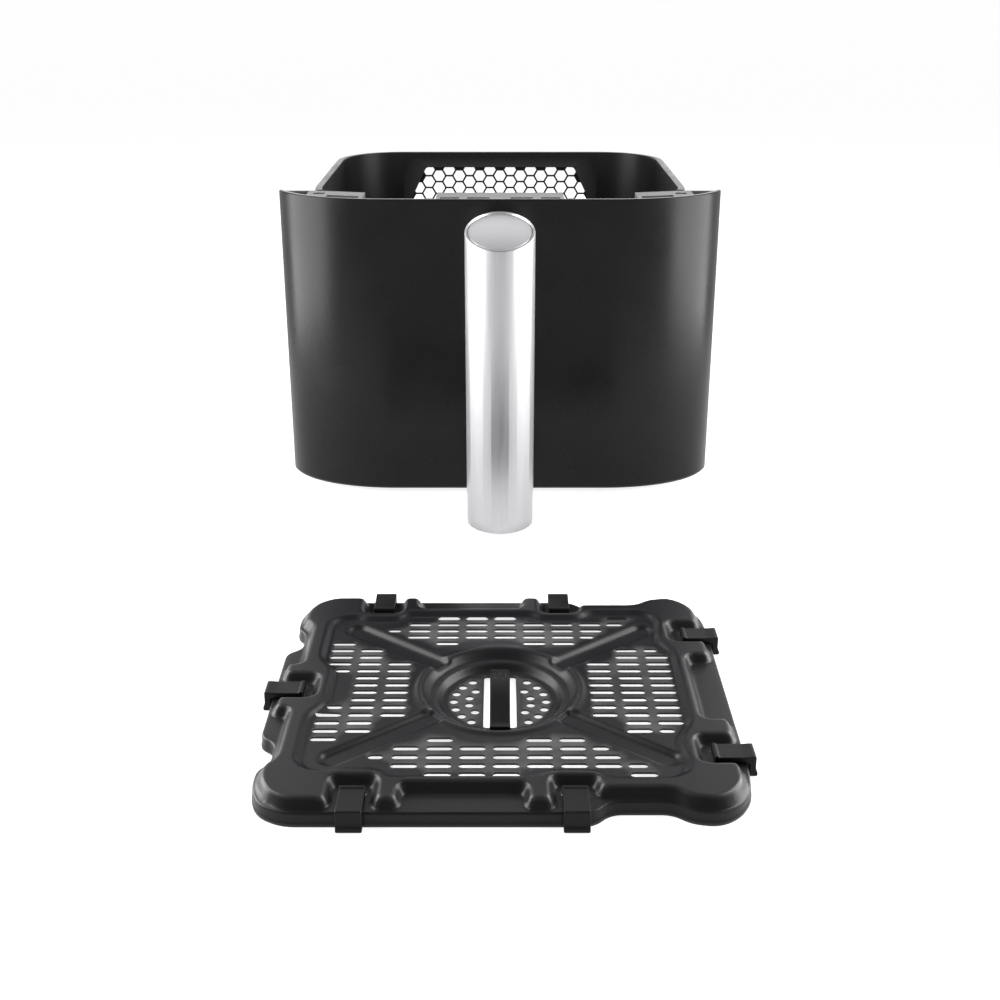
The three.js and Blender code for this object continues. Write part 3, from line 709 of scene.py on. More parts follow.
def pan_profile(sizes, steps=8):
    """Insets and heights up the outside of the pan, over its rim and down its inside."""
    low, top, edge = PAN_LOW.z, PAN_HIGH.z, 0.8
    under_rim = top - sizes.rim_height
    profile = []
    for base, radius, grow, order in ((low, sizes.floor_round + sizes.wall, sizes.wall, 1),
                                      (low + sizes.wall, sizes.floor_round, 0.0, -1)):
        turn = []
        for i in range(steps + 1):
            angle = math.pi / 2 * i / steps
            z = base + radius * (1 - math.cos(angle))
            turn.append((pan_draft(z) - grow + radius * (1 - math.sin(angle)), z))
        profile.append(turn[::order])
    outside, inside = profile
    rim = sizes.rim_width
    over_rim = [
        (pan_draft(under_rim) - sizes.wall, under_rim),
        *[(-x, z) for x, z in arc((rim - edge, under_rim + edge), edge, 270, 360, 4)],
        *[(-x, z) for x, z in arc((rim - edge, top - edge), edge, 0, 90, 4)],
        *[(-x, z) for x, z in arc((edge, top - edge), edge, 90, 180, 4)],
    ]
    return outside + over_rim + inside


def against_back_wall(sizes, across, up, out):
    """A point given across and up from the window's middle, and out from the wall's inside."""
    z = window_middle(sizes)
    tilt = math.atan(sizes.draft / (PAN_HIGH.z - PAN_LOW.z))
    y = PAN_HIGH.y - sizes.rim_width - pan_draft(z)
    rise_y, rise_z = math.sin(tilt), math.cos(tilt)
    return (across, y + up * rise_y + out * rise_z, z + up * rise_z - out * rise_y)


def window_middle(sizes):
    return PAN_HIGH.z - sizes.vent_below_rim - sizes.vent_height / 2


def window_outline(sizes, grow):
    """The vent window, across and up from its middle: an eight-sided shape, widest below its top."""
    up, top, wide = sizes.vent_height / 2, sizes.vent_top_half, sizes.vent_wide_half
    knee, corner = up - sizes.vent_wide_drop, 4
    right = [(wide - corner, -up), (wide, -up + corner), (wide, knee), (top, up)]
    left = [(-x, y) for x, y in reversed(right)]
    return softened(offset(right + left, grow), 2.0, 4)


def pan_body(sizes):
    """A deep pressed tub with a rolled rim, its front edge cut lower, and a window in its back wall."""
    rings = [[(x, y, z) for x, y in pan_outline(inset)] for inset, z in pan_profile(sizes)]
    body = skin("pan_pressing", rings)
    notch_front, notch_back, side = FRONT - PAST, PANEL_HIGH.y + FIT, PAN_HIGH.x + PAST
    notch = [(-side, notch_front), (side, notch_front), (side, notch_back), (-side, notch_back)]
    combine(body, slab("notch", notch, PAN_HIGH.z - sizes.front_drop, PAN_HIGH.z + PAST), "DIFFERENCE")
    rings = [
        [against_back_wall(sizes, x, up, out) for x, up in window_outline(sizes, 0)] for out in (-PAST, PAST)
    ]
    combine(body, skin("window", rings), "DIFFERENCE")
    bored_for(body, "pan_screw")
    return round_edges(body, 0.3, segments=2, angle=45)


def vent_grille(sizes):
    """A flat sheet behind the window, cut into hexagons."""
    step = sizes.cell_pitch * math.sqrt(3) / 2
    radius = (sizes.cell_pitch - sizes.cell_bar) / math.sqrt(3)
    seen = window_outline(sizes, sizes.cell_pitch / 4)
    columns = math.ceil(sizes.vent_wide_half / step)
    rows = math.ceil(sizes.vent_height / 2 / sizes.cell_pitch) + 1
    cells = []
    for column in range(-columns, columns + 1):
        for row in range(-rows, rows + 1):
            x = column * step
            y = (row + column % 2 / 2) * sizes.cell_pitch + sizes.cell_rise
            if depth_inside(np.array([x]), np.array([y]), seen)[0] > 0:
                turns = [math.radians(60 * i) for i in range(6)]
                cells.append([(x + radius * math.cos(a), y + radius * math.sin(a)) for a in turns])
    flat, triangles = cut_sheet(window_outline(sizes, sizes.vent_frame), cells)
    inner_face = sizes.wall + FIT
    points = [against_back_wall(sizes, x, up, inner_face) for x, up in flat]
    grille = new_piece("vent_mesh", points, triangles.tolist())
    thicken(grille, sizes.wall)
    return round_edges(tidied(grille), 0.18, segments=2)


# ---------------------------------------------------------------- handle
def handle_axis():
    middle = (HANDLE_LOW + HANDLE_HIGH) / 2
    return middle.x, middle.y, (HANDLE_HIGH.x - HANDLE_LOW.x) / 2


def top_of_handle(sizes, y):
    """Height of the sloping cut at a distance in front of or behind the axis."""
    slope = math.tan(sizes.cut_angle)
    return HANDLE_HIGH.z - (handle_axis()[2] - y) * slope


def facet_angles(count):
    """Angles round the tube, close together at the edges of the facets."""
    shares = (0.0, 0.05, 0.3, 0.5, 0.7, 0.95)
    width = 2 * math.pi / count
    return [width * (facet + share) - math.pi / 2 for facet in range(count) for share in shares]


def handle_ring(sizes, inset, share, shift, faceted=1.0):
    """Points round the tube: inset from its outside, a share of the way up, moved along the axis."""
    radius = handle_axis()[2]
    bottom = HANDLE_LOW.z
    width = 2 * math.pi / sizes.facets
    ring = []
    for angle in facet_angles(sizes.facets):
        top = top_of_handle(sizes, radius * math.sin(angle))
        z = bottom + (top - bottom) * share + shift
        flat = faceted * min(1.0, max(0.0, (sizes.flute_top - z) / (sizes.flute_top - bottom))) ** 0.6
        off_middle = (angle + math.pi / 2) % width - width / 2
        chord = math.cos(width / 2) / math.cos(off_middle)
        r = (radius - inset) * (1 + (chord - 1) * flat)
        ring.append((r * math.cos(angle), r * math.sin(angle), z))
    return ring


def handle_tube(sizes, rows=28):
    """A round tube that turns into flat facets on its way down, cut at a slope at its top."""
    edge, wall = sizes.edge, sizes.wall
    rings = [handle_ring(sizes, edge, 0, 0), handle_ring(sizes, 0, 0, edge)]
    rings += [handle_ring(sizes, 0, i / rows, 0) for i in range(1, rows)]
    top = arc((sizes.top_round, sizes.top_round), sizes.top_round, 180, 270, 6)
    rings += [handle_ring(sizes, inset, 1, -drop) for inset, drop in top]
    rings += [handle_ring(sizes, wall, 1, -edge)]
    rings += [handle_ring(sizes, wall, 0, edge, 0), handle_ring(sizes, wall - edge, 0, 0, 0)]
    x, y, _ = handle_axis()
    tube = skin("handle_grip", rings, closed=True, at=(x, y, 0))
    for node in ("handle_post_lower", "handle_post_upper"):
        low, high = corners(node)
        left, right = low.x - FIT, high.x + FIT
        outline = [(left, y), (right, y), (right, high.y), (left, high.y)]
        combine(tube, slab("post_space", outline, low.z - FIT, high.z + FIT), "DIFFERENCE")
    return shade(tube, 50)


def handle_cap(sizes, sides=72):
    """A disc that sits just inside the sloping top."""
    x, y, outer = handle_axis()
    radius = outer - sizes.wall - FIT
    face, edge = -sizes.cap_recess, 0.4
    rows = [(0.0, face - sizes.cap_thickness), (0.0, face - edge)]
    rows += [(edge * 0.3, face - edge * 0.3), (edge, face)]
    rings = []
    for inset, drop in rows:
        ring = []
        for i in range(sides):
            angle = 2 * math.pi * i / sides
            px, py = (radius - inset) * math.cos(angle), (radius - inset) * math.sin(angle)
            ring.append((px, py, top_of_handle(sizes, py) + drop))
        rings.append(ring)
    return shade(skin("handle_cap_disc", rings, at=(x, y, 0)), 50)


def handle_plug():
    """A round plug with a softened lower edge."""
    low, high = corners("handle_bottom_plug")
    radius = (high.x - low.x) / 2
    x, y, _ = (low + high) / 2
    profile = [(0, low.z), (radius - 6, low.z), (radius - 5.4, low.z + 0.5), (radius - 4.6, low.z + 0.5),
               (radius - 4, low.z), *arc((radius - 0.6, low.z + 0.6), 0.6, 270, 360, 4), (radius, high.z),
               (0, high.z)]
    return shade(turned("handle_end_plug", profile, 72, (x, y, 0)))


# ---------------------------------------------------------------- fasteners and feet
def screw(name, node, kind):
    """A pan-head screw with a cross recess, its head towards the back."""
    shank, head_height = SHANKS[kind], HEADS[kind]
    low, high = corners(node)
    radius = (high.x - low.x) / 2
    reach = high.y - low.y
    neck = reach - head_height
    profile = [(0, 0), (shank - 0.4, 0), (shank, 0.6), (shank, neck), (radius - 0.2, neck),
               (radius, neck + 0.2), (radius, neck + head_height * 0.45),
               *arc((radius - head_height * 0.55, neck + head_height * 0.45), head_height * 0.55, 0, 80, 5),
               (0, reach)]
    made = turned(name, profile, 32)
    arm, deep = radius * 0.5, head_height * 0.65
    for long, wide in ((arm, 0.45), (0.45, arm)):
        outline = [(-long, -wide), (long, -wide), (long, wide), (-long, wide)]
        narrow = [(x * 0.6, y * 0.6) for x, y in outline]
        rings = [[(x, y, reach - deep) for x, y in narrow], [(x, y, reach + 0.5) for x, y in outline]]
        combine(made, skin("recess", rings), "DIFFERENCE")
    made.data.transform(Matrix.Rotation(-math.pi / 2, 4, "X"))
    x, _, z = (low + high) / 2
    made.data.transform(Matrix.Translation(Vector((x, low.y, z)) * MM))
    return shade(tidied(made), 45)


def foot(name, node):
    """A round silicone foot with a shallow dish in its sole."""
    low, high = corners(node)
    radius = (high.x - low.x) / 2
    x, y, _ = (low + high) / 2
    profile = [(0, 0.5), (radius - 3.4, 0.5), (radius - 2.8, 0), *arc((radius - 1, 1), 1, 270, 360, 5),
               (radius - 0.3, high.z - 0.3), (radius - 0.6, high.z), (0, high.z)]
    return shade(turned(name, profile, 48, (x, y, 0)))


# ---------------------------------------------------------------- crisper plate
CLIPS = ("clip_back_left", "clip_back_right", "clip_front_left", "clip_front_right", "clip_left",
         "clip_right_back", "clip_right_front")
CLIP_REACH = 4.2
CLIP_STRIP = 12.0
CLIP_LEG = 2.7
# Half the width of a clip's pocket in the ring.
POCKET_HALF = 9.5


def clip_place(node):
    """Where a clip crosses the plate's edge, and its outward direction."""
    low, high = corners(node)
    middle = (low + high) / 2
    outward = {"back": (0, 1), "front": (0, -1), "left": (-1, 0), "right": (1, 0)}[node.split("_")[1]]
    along = Vector((*outward, 0))
    half = (high - low) / 2
    edge = middle + along * (abs(along.dot(half)) - CLIP_REACH)
    return edge, along


def turned_to(along, out, across):
    """A point given outwards and across, for a piece that faces a direction."""
    return along.x * out - along.y * across, along.y * out + along.x * across


def plate_half():
    return (PLATE_HIGH.x - PLATE_LOW.x) / 2, (PLATE_HIGH.y - PLATE_LOW.y) / 2


def flange_outline():
    """The plate's edge. Its right corners stand out as lobes beside a step."""
    side, deep = plate_half()
    return mirrored_back_to_front([
        (-side, 38), (-side + 7.5, 43), (-side + 7.5, 57), (-side + 2.5, 63), (-side + 2.5, deep - 18),
        (-side + 7, deep - 6.5), (-side + 18, deep), (39, deep), (46, deep - 8), (72, deep - 8),
        (79, deep - 2), (91, deep), (side - 8, deep - 6), (side - 1.5, deep - 17), (side, 62),
    ])


def pocket(clip_at, deep, floor):
    """A notch in the ring for a clip, from left to right."""
    left, right = clip_at - POCKET_HALF, clip_at + POCKET_HALF
    return [(left, deep), (left, floor), (right, floor), (right, deep)]


def ring_outline():
    """The outside of the raised ring: it steps in for the clips, and for three long recesses."""
    side, deep = plate_half()
    local = {name: clip_place(name)[0] - PLATE_MIDDLE for name in CLIPS}
    first, second = local["clip_back_left"].x, local["clip_back_right"].x
    beside, half = local["clip_right_back"].y, POCKET_HALF
    return mirrored_back_to_front([
        (-88, half), (-105, half), (-105, 21), (-98, 21), (-98, 59), (-side + 5.5, 65),
        (-side + 5.5, deep - 19), (-side + 10, deep - 9), (-side + 19, deep - 3),
        *pocket(first, deep - 3, 74), (-42, deep - 3), (-42, 79), (11, 79), (11, deep - 3),
        *pocket(second, deep - 3, 74)[:3], (second + half, deep - 11), (72, deep - 11), (79, deep - 5),
        (91, deep - 3), (side - 9.5, deep - 8.5), (side - 4.5, deep - 17), (side - 4.5, beside + half),
        (87.5, beside + half), (87.5, beside - half), (105, beside - half), (105, 28), (93, 28),
    ])


def field_outline():
    """The slotted field inside the ring."""
    return mirrored_back_to_front([
        (-81, 15), (-88, 26), (-88, 62), (-83, 68), (-75, 69), (-70, 67), (-54, 67), (-48, 73), (16, 73),
        (22, 69), (41, 69), (47, 74), (74, 74), (80, 70), (82, 61), (80, 50), (80, 44), (86, 32),
    ])


GROOVE_ANGLE = math.radians(38)
GROOVE_START, GROOVE_END, GROOVE_HALF = 36.0, 98.0, 5.0
WELL_FLOOR, WELL_MOUTH, WELL_BEAD = 29.0, 34.5, 38.5
OPENING_HALF, OPENING_DEEP = 7.8, 23.0


def groove_depth(x, y):
    """1 on the floor of the four drain grooves, 0 away from them."""
    found = np.zeros(x.shape)
    for across in (1, -1):
        for along in (1, -1):
            c, s = across * math.cos(GROOVE_ANGLE), along * math.sin(GROOVE_ANGLE)
            run = x * c + y * s
            aside = np.abs(y * c - x * s)
            past_end = np.maximum(0, run - (GROOVE_END - GROOVE_HALF))
            away = np.hypot(aside, past_end)
            found = np.maximum(found, rise(GROOVE_HALF - away, 3.4) * rise(run - GROOVE_START, 4))
    return found


def plate_height(sizes, x, y):
    """Height of the plate's upper side, given from its middle."""
    ring = rise(depth_inside(x, y, softened(ring_outline(), 4.5)) - 0.5, 4.4)
    field = rise(depth_inside(x, y, softened(field_outline(), 5)), 4.2)
    groove = groove_depth(x, y) * field
    z = sizes.flange + (sizes.ring - sizes.flange) * ring - (sizes.ring - sizes.field) * field
    z -= (sizes.field - sizes.groove) * groove
    out = np.hypot(x, y)
    z -= (sizes.field - sizes.ledge) * rise(WELL_MOUTH - out, 4.6)
    z -= (sizes.ledge - sizes.floor) * rise(WELL_FLOOR - out, 4.2)
    z += sizes.bead * np.exp(-(((out - WELL_BEAD) / 2.0) ** 2)) * (1 - groove)
    return z


def stadium(x, y, length, width, steps=4):
    """A slot with round ends."""
    half, end = width / 2, length / 2 - width / 2
    ends = arc((end, 0), half, -90, 90, steps) + arc((-end, 0), half, 90, 270, steps)
    return [(x + px, y + py) for px, py in ends]


def slots(sizes):
    """The field's slots: rows in front and behind, and columns at the sides."""
    first_row, first_column = 43.6, 2.7
    full = sizes.slot_length
    rows = [
        [(-2, full), (1, full), (2, full)],
        [*((n, full) for n in range(-3, 3)), (2.83, 7.8)],
        [(-3.87, 7.0), *((n, full) for n in range(-3, 4))],
        [*((n, full) for n in range(-3, 4)), (3.86, 9.0)],
        [(-2, full), (-1, full), (0, full), (4, full)],
    ]
    places = []
    for n, row in enumerate(rows):
        y = first_row + n * sizes.slot_pitch_y
        places += [(first_column + c * sizes.slot_pitch_x, s * y, long) for c, long in row for s in (1, -1)]
    columns = [(-64.3, 0.5, 5.5), (-49.5, 0.5, 3.5), (48.5, 0.5, 3.5), (63.2, 0.5, 5.5), (77.9, 0.5, 4.5),
               (-79.0, 3.5, 6.5)]
    stubs = [(-76.8, 2.5), (75.5, 5.5)]
    for x, start, end in columns:
        count = round(end - start) + 1
        places += [(x, s * (start + n) * sizes.slot_pitch_y, full) for n in range(count) for s in (1, -1)]
    places += [(x, s * row * sizes.slot_pitch_y, 7.4) for x, row in stubs for s in (1, -1)]
    return [stadium(x, y, long, sizes.slot_width) for x, y, long in places]


def drain_holes():
    """Round holes in the well's floor, on two arcs each side of the strap."""
    outer = [(22.1, angle) for angle in (-53, -35.5, -18, 0, 18, 35.5, 53)]
    inner = [(15.0, angle) for angle in (-38, -12, 12, 38)]
    holes = []
    for radius, angle in outer + inner:
        turn = math.radians(angle)
        for side in (1, -1):
            centre = (side * radius * math.cos(turn), radius * math.sin(turn))
            holes.append(arc(centre, 2.15, 0, 345, 15))
    return holes


def clip_slits():
    """The slits that the clips' inner legs pass through."""
    made = []
    start, end, half = -CLIP_STRIP - CLIP_LEG - 2 * FIT, -CLIP_STRIP, 5.8
    for name in CLIPS:
        edge, along = clip_place(name)
        edge = edge - PLATE_MIDDLE
        outline = [turned_to(along, out, across) for out, across in
                   ((start, -half), (end, -half), (end, half), (start, half))]
        made.append(softened([(edge.x + x, edge.y + y) for x, y in outline], 1.2, 3))
    return made


def plate_seeds(sizes, outline, holes):
    """Points inside the plate: close together on the pressed shapes, and further apart on flat ground."""
    side, deep = plate_half()
    step = sizes.grain
    x, y = np.meshgrid(np.arange(-side, side, step), np.arange(-deep, deep, step * 0.87))
    x[1::2] += step / 2
    z = plate_height(sizes, x, y)
    slope = np.hypot(*np.gradient(z))
    busy = slope > 0.02 * step
    for axis in (0, 1):
        busy |= np.roll(busy, 1, axis) | np.roll(busy, -1, axis)
    row, column = np.indices(x.shape)
    keep = busy | ((row % 4 == 0) & (column % 4 == 0))
    keep &= depth_inside(x, y, outline) > 0.5 * step
    for hole in holes:
        low, high = np.min(hole, axis=0) - 0.3, np.max(hole, axis=0) + 0.3
        keep &= ~((x > low[0]) & (x < high[0]) & (y > low[1]) & (y < high[1]))
    return list(zip(x[keep].tolist(), y[keep].tolist()))


def crisper_plate(sizes):
    """A sheet pressed to shape: a slotted field, grooves, a well, a raised ring and a turned-down edge."""
    edge = spaced(softened(flange_outline(), 6.0), 2.0)
    # The turned-down edge, as insets and heights: a round shoulder, an upright and a small flare.
    shoulder, upright = 1.2, 0.5
    turn_down = [(upright + shoulder - x, z) for x, z in
                 arc((0, sizes.flange - shoulder), shoulder, 90, 0, 6)]
    turn_down += [(upright, 2.6), (upright * 0.85, 2.1), (upright * 0.15, 1.5), (0.0, 1.0), (0.0, 0.0)]
    brim = offset(edge, -turn_down[0][0])
    opening = softened([(-OPENING_HALF, -OPENING_DEEP), (OPENING_HALF, -OPENING_DEEP),
                        (OPENING_HALF, OPENING_DEEP), (-OPENING_HALF, OPENING_DEEP)], 1.5, 3)
    holes = [*slots(sizes), *drain_holes(), *clip_slits(), opening]
    flat, triangles = cut_sheet(brim, holes, plate_seeds(sizes, brim, holes))
    heights = plate_height(sizes, flat[:, 0], flat[:, 1])
    points = [(x, y, z) for (x, y), z in zip(flat.tolist(), heights.tolist())]
    faces = triangles.tolist()
    count = len(edge)
    for row, (inset, z) in enumerate(turn_down):
        first = len(points)
        ring = np.array(offset(edge, -inset))
        levels = np.full(count, z) if row else plate_height(sizes, ring[:, 0], ring[:, 1])
        points += [(x, y, level) for (x, y), level in zip(ring.tolist(), levels.tolist())]
        for i in range(count if row else 0):
            j = (i + 1) % count
            faces.append((first - count + i, first + i, first + j, first - count + j))
    plate = new_piece("crisper_plate_pressing", points, faces, (PLATE_MIDDLE.x, PLATE_MIDDLE.y, 0))
    tidied(plate, 0.02)
    if plate.data.polygons[0].normal.z < 0:
        plate.data.flip_normals()
    thicken(plate, sizes.sheet)
    return shade(plate, 55)


def clip(name, node, sizes):
    """A silicone clip: it hooks through its slit, wraps the flange and hangs down outside as a bumper."""
    low, high = corners(node)
    edge, along = clip_place(node)
    half = min(high.x - low.x, high.y - low.y) / 2
    top, strap = high.z, sizes.flange + FIT
    under = sizes.flange - sizes.sheet - FIT
    inner, leg_in, leg_out = -CLIP_STRIP - FIT - CLIP_LEG, -CLIP_STRIP - FIT, CLIP_REACH
    skirt = sizes.sheet + FIT
    outline = [(inner, 0), (leg_in, 0), (leg_in, under - 2), (-skirt - 2, under - 2), (-skirt - 2, 0.4),
               (-skirt, 0.4), (-skirt, under), (leg_in, under), (leg_in, strap), (FIT, strap), (FIT, 0.0),
               (leg_out, 0.0), (leg_out, 1.8), (leg_out - 0.9, 3.2), (leg_out - 0.9, top - 0.4),
               (leg_out - 2.2, top - 0.2), (-2, top - 0.6), (leg_in - 0.5, top - 0.6), (leg_in - 1.2, top),
               (inner, top)]
    outline = softened(outline, 0.8, 3)
    rings = []
    for across in (-half, -half * 0.5, half * 0.5, half):
        ring = []
        for out, z in outline:
            x, y = turned_to(along, out, across)
            ring.append((x, y, z))
        rings.append(ring)
    made = skin(name, rings, at=(edge.x, edge.y, 0))
    return round_edges(made, 0.45, segments=3, angle=60)


def lift_strap():
    """An arched strap over the opening in the well, with three ribs on its far half."""
    low, high = corners("lift_handle")
    middle = (low + high) / 2
    half_width, half_length = (high.x - low.x) / 2, (high.y - low.y) / 2
    seat, thickness = 3.0, 2.2
    reach = half_length - seat
    crest = high.z - low.z - thickness
    rings = []
    stations = 60
    for i in range(stations + 1):
        y = -half_length + 2 * half_length * i / stations
        t = max(-1.0, min(1.0, y / reach))
        z = low.z + crest * max(0.0, math.cos(math.pi / 2 * t)) ** 1.2
        ribs = float(rise(np.array(y - 1.0), 3.0) * rise(np.array(reach - 2 - y), 3.0))
        rings.append([(x, y, z + h) for x, h in strap_section(half_width, thickness, ribs)])
    return round_edges(skin("lift_strap", rings, at=(middle.x, middle.y, 0)), 0.3, segments=2, angle=60)


def strap_section(half, thick, ribs):
    """The strap's cross-section. Where it has ribs, the ground between them is lower."""
    corner, rib = 0.7, 0.6 * ribs
    ground = thick - rib
    section = [*arc((half - corner, corner), corner, 270, 360, 3)]
    section += arc((half - corner, ground - corner), corner, 0, 90, 3)
    for i in range(1, 36):
        across = i / 36
        wave = 0.5 - 0.5 * math.cos(6 * math.pi * across)
        section.append(((half - corner) * (1 - 2 * across), ground + rib * wave))
    section += arc((-half + corner, ground - corner), corner, 90, 180, 3)
    section += arc((-half + corner, corner), corner, 180, 270, 3)
    return section


# ---------------------------------------------------------------- studio
def area_light(name, power, size, at, towards):
    """A soft box with its size in metres, pointing from one place to another."""
    lamp = bpy.data.lights.new(name, "AREA")
    lamp.shape = "RECTANGLE"
    lamp.energy = power
    lamp.size, lamp.size_y = size
    held = bpy.data.objects.new(name, lamp)
    held.location = at
    held.rotation_euler = (Vector(towards) - Vector(at)).to_track_quat("-Z", "Y").to_euler()
    held.visible_camera = False
    bpy.context.scene.collection.objects.link(held)
    return held


def studio_camera():
    """Looks down on the set from in front of the plate."""
    distance, height, tilt = 800.4, 333.8, 20.24
    view = bpy.data.cameras.new("camera")
    view.lens = 46.57
    view.sensor_width = 36
    view.shift_y = -0.06
    held = bpy.data.objects.new("camera", view)
    held.location = (0.0, (FRONT - distance) * MM, height * MM)
    held.rotation_euler = (math.radians(90 - tilt), 0, 0)
    bpy.context.scene.collection.objects.link(held)
    bpy.context.scene.camera = held


def white_room():
    """A world that is white at the horizon, where it meets the floor, and dimmer overhead."""
    world = bpy.data.worlds.new("room")
    world.use_nodes = True
    tree = world.node_tree
    tree.nodes.clear()
    direction = add_node(tree, "ShaderNodeTexCoord").outputs["Generated"]
    up = add_node(tree, "ShaderNodeSeparateXYZ", None, {"Vector": direction}).outputs["Z"]
    settings = {"From Min": 0.16, "From Max": 0.4, "To Min": 1.0, "To Max": 0.33}
    strength = add_node(tree, "ShaderNodeMapRange", settings, {"Value": up}).outputs["Result"]
    glow = add_node(tree, "ShaderNodeBackground", {"Color": (1, 1, 1, 1)}, {"Strength": strength})
    add_node(tree, "ShaderNodeOutputWorld", None, {"Surface": glow.outputs["Background"]})
    return world


def studio():
    """A pale floor, a white room, and soft boxes above, behind and at the sides."""
    half = 30000
    floor = new_piece("floor", [(-half, -half, 0), (half, -half, 0), (half, half, 0), (-half, half, 0)],
                      [(0, 1, 2, 3)])
    floor.data.materials.append(finish("opal_acrylic"))
    bpy.context.scene.world = white_room()
    bpy.context.scene.view_settings.view_transform = "Standard"
    area_light("top_box", 4, (1.2, 0.8), (0, 0.9, 1.2), (0, 0, 0))
    area_light("back_box", 8, (2.2, 0.7), (0, 1.3, 0.55), (0, 0.1, 0.2))
    for name, side in (("left_box", -1), ("right_box", 1)):
        area_light(name, 11, (0.45, 0.6), (side * 0.5, -0.04, 0.28), (0, -0.04, 0.2))


# ---------------------------------------------------------------- operators
class DRAWER_OT_front_panel(Operator):
    """Make the curved plastic front of the drawer"""

    bl_idname = "drawer.front_panel"
    bl_label = "Front panel"

    def execute(self, context):
        piece = front_panel(in_millimetres(context.scene.front_sizes))
        install(piece, "drawer", "panel_plastic", finish("pbt_satin_black"), "front_panel")
        return {"FINISHED"}


class DRAWER_OT_inner_frame(Operator):
    """Finish the frame inside the front, its brackets and the handle's arms"""

    bl_idname = "drawer.inner_frame"
    bl_label = "Inner frame"

    def execute(self, context):
        for node in ("inner_frame", "handle_core", "handle_post_lower", "handle_post_upper"):
            dress(node, finish("pbt_dark_grey"), 0.35)
        for node in ("pan_bracket_left", "pan_bracket_right", "handle_backing_plate"):
            dress(node, finish("steel_zinc_plated"), 0.25)
        return {"FINISHED"}


class DRAWER_OT_pan(Operator):
    """Make the coated pan"""

    bl_idname = "drawer.pan"
    bl_label = "Pan"

    def execute(self, context):
        install(pan_body(pan_sizes()), "drawer", "pan_coating", finish("ptfe_black"), "pan")
        return {"FINISHED"}


class DRAWER_OT_vent_grille(Operator):
    """Make the hexagon grille behind the pan's window"""

    bl_idname = "drawer.vent_grille"
    bl_label = "Vent grille"

    def execute(self, context):
        piece = vent_grille(pan_sizes())
        install(piece, "drawer", "pan_coating", finish("ptfe_black"), "vent_grille")
        return {"FINISHED"}


class DRAWER_OT_handle(Operator):
    """Make the metal handle, its top disc and its plug"""

    bl_idname = "drawer.handle"
    bl_label = "Handle"

    def execute(self, context):
        sizes = in_millimetres(context.scene.handle_sizes)
        metal, matt = finish("aluminium_brushed"), finish("aluminium_blasted")
        install(handle_tube(sizes), "drawer", "handle_aluminium", metal, "handle_tube")
        install(handle_cap(sizes), "drawer", "handle_cap", matt, "handle_top_cap")
        install(handle_plug(), "drawer", "frame_plastic", finish("pbt_dark_grey"), "handle_bottom_plug")
        return {"FINISHED"}


class DRAWER_OT_screws(Operator):
    """Make the screws of the handle, the pan and the frame"""

    bl_idname = "drawer.screws"
    bl_label = "Screws"

    def execute(self, context):
        steel = finish("steel_zinc_plated")
        for kind in SHANKS:
            for number in SCREWS_OF_A_KIND:
                node = f"{kind}_{number}"
                install(screw(f"{kind}_turned_{number}", node, kind), "drawer", "steel", steel, node)
        return {"FINISHED"}


class DRAWER_OT_feet(Operator):
    """Make the silicone feet"""

    bl_idname = "drawer.feet"
    bl_label = "Feet"

    def execute(self, context):
        for number in range(1, 5):
            node = f"pan_foot_{number}"
            piece = foot(f"foot_moulding_{number}", node)
            install(piece, "drawer", "silicone", finish("silicone_black"), node)
        return {"FINISHED"}


class DRAWER_OT_crisper_plate(Operator):
    """Make the pressed and slotted crisper plate"""

    bl_idname = "drawer.crisper_plate"
    bl_label = "Crisper plate"

    def execute(self, context):
        piece = crisper_plate(in_millimetres(context.scene.plate_sizes))
        install(piece, "crisper_plate", "plate_coating", finish("ptfe_charcoal"), "crisper_plate")
        return {"FINISHED"}


class DRAWER_OT_clips(Operator):
    """Make the silicone clips on the plate's edge"""

    bl_idname = "drawer.clips"
    bl_label = "Clips"

    def execute(self, context):
        sizes = in_millimetres(context.scene.plate_sizes)
        for node in CLIPS:
            piece = clip(node.replace("clip_", "silicone_clip_"), node, sizes)
            install(piece, "crisper_plate", "silicone", finish("silicone_black"), node)
        return {"FINISHED"}


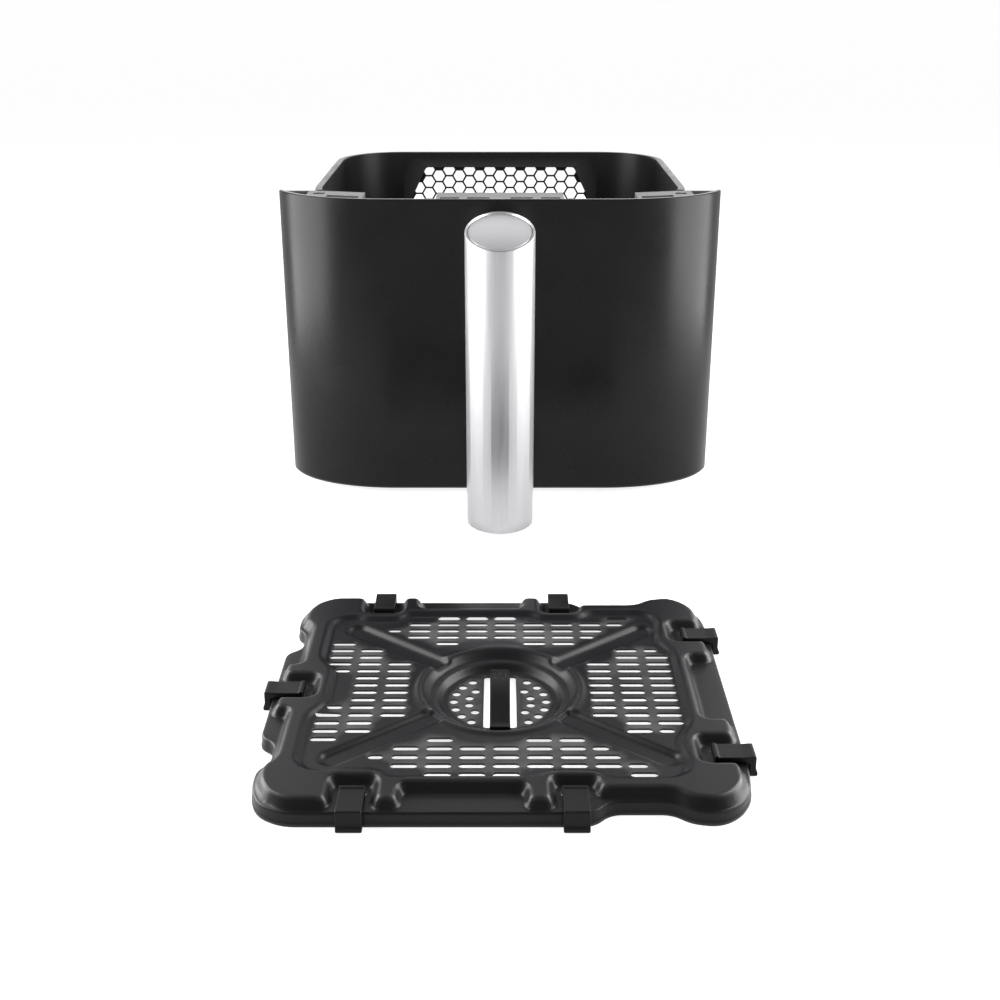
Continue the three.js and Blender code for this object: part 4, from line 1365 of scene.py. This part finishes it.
class DRAWER_OT_lift_strap(Operator):
    """Make the strap that the plate is lifted by"""

    bl_idname = "drawer.lift_strap"
    bl_label = "Lift strap"

    def execute(self, context):
        install(lift_strap(), "crisper_plate", "silicone", finish("silicone_black"), "lift_handle")
        return {"FINISHED"}


class DRAWER_OT_stage(Operator):
    """Make the floor, the lights and the camera"""

    bl_idname = "drawer.stage"
    bl_label = "Stage"

    def execute(self, context):
        studio_camera()
        studio()
        return {"FINISHED"}


OPERATORS = (
    DRAWER_OT_stage,
    DRAWER_OT_front_panel,
    DRAWER_OT_inner_frame,
    DRAWER_OT_pan,
    DRAWER_OT_vent_grille,
    DRAWER_OT_handle,
    DRAWER_OT_screws,
    DRAWER_OT_feet,
    DRAWER_OT_crisper_plate,
    DRAWER_OT_clips,
    DRAWER_OT_lift_strap,
)


class DRAWER_PT_pieces(Panel):
    """Lists the pieces of the drawer and their sizes"""

    bl_idname = "DRAWER_PT_pieces"
    bl_label = "Air fryer drawer"
    bl_space_type = "VIEW_3D"
    bl_region_type = "UI"
    bl_category = "Air fryer drawer"

    def draw(self, context):
        for operator in OPERATORS:
            self.layout.operator(operator.bl_idname)
        for _, name, title in GROUPS:
            box = self.layout.box()
            box.label(text=title)
            sizes = getattr(context.scene, name)
            for prop in sizes.__annotations__:
                box.prop(sizes, prop)


GROUPS = (
    (FrontSizes, "front_sizes", "Front"),
    (PanSizes, "pan_sizes", "Pan"),
    (HandleSizes, "handle_sizes", "Handle"),
    (PlateSizes, "plate_sizes", "Crisper plate"),
    (Finishes, "drawer_finishes", "Finishes"),
)


def register():
    for kind, name, _ in GROUPS:
        bpy.utils.register_class(kind)
        setattr(bpy.types.Scene, name, PointerProperty(type=kind))
    for kind in (*OPERATORS, DRAWER_PT_pieces):
        bpy.utils.register_class(kind)


def unregister():
    for kind in (DRAWER_PT_pieces, *reversed(OPERATORS)):
        bpy.utils.unregister_class(kind)
    for kind, name, _ in reversed(GROUPS):
        delattr(bpy.types.Scene, name)
        bpy.utils.unregister_class(kind)


def main():
    """Makes every piece in order."""
    register()
    for operator in OPERATORS:
        group, name = operator.bl_idname.split(".")
        getattr(getattr(bpy.ops, group), name)()


if __name__ == "__main__":
    main()
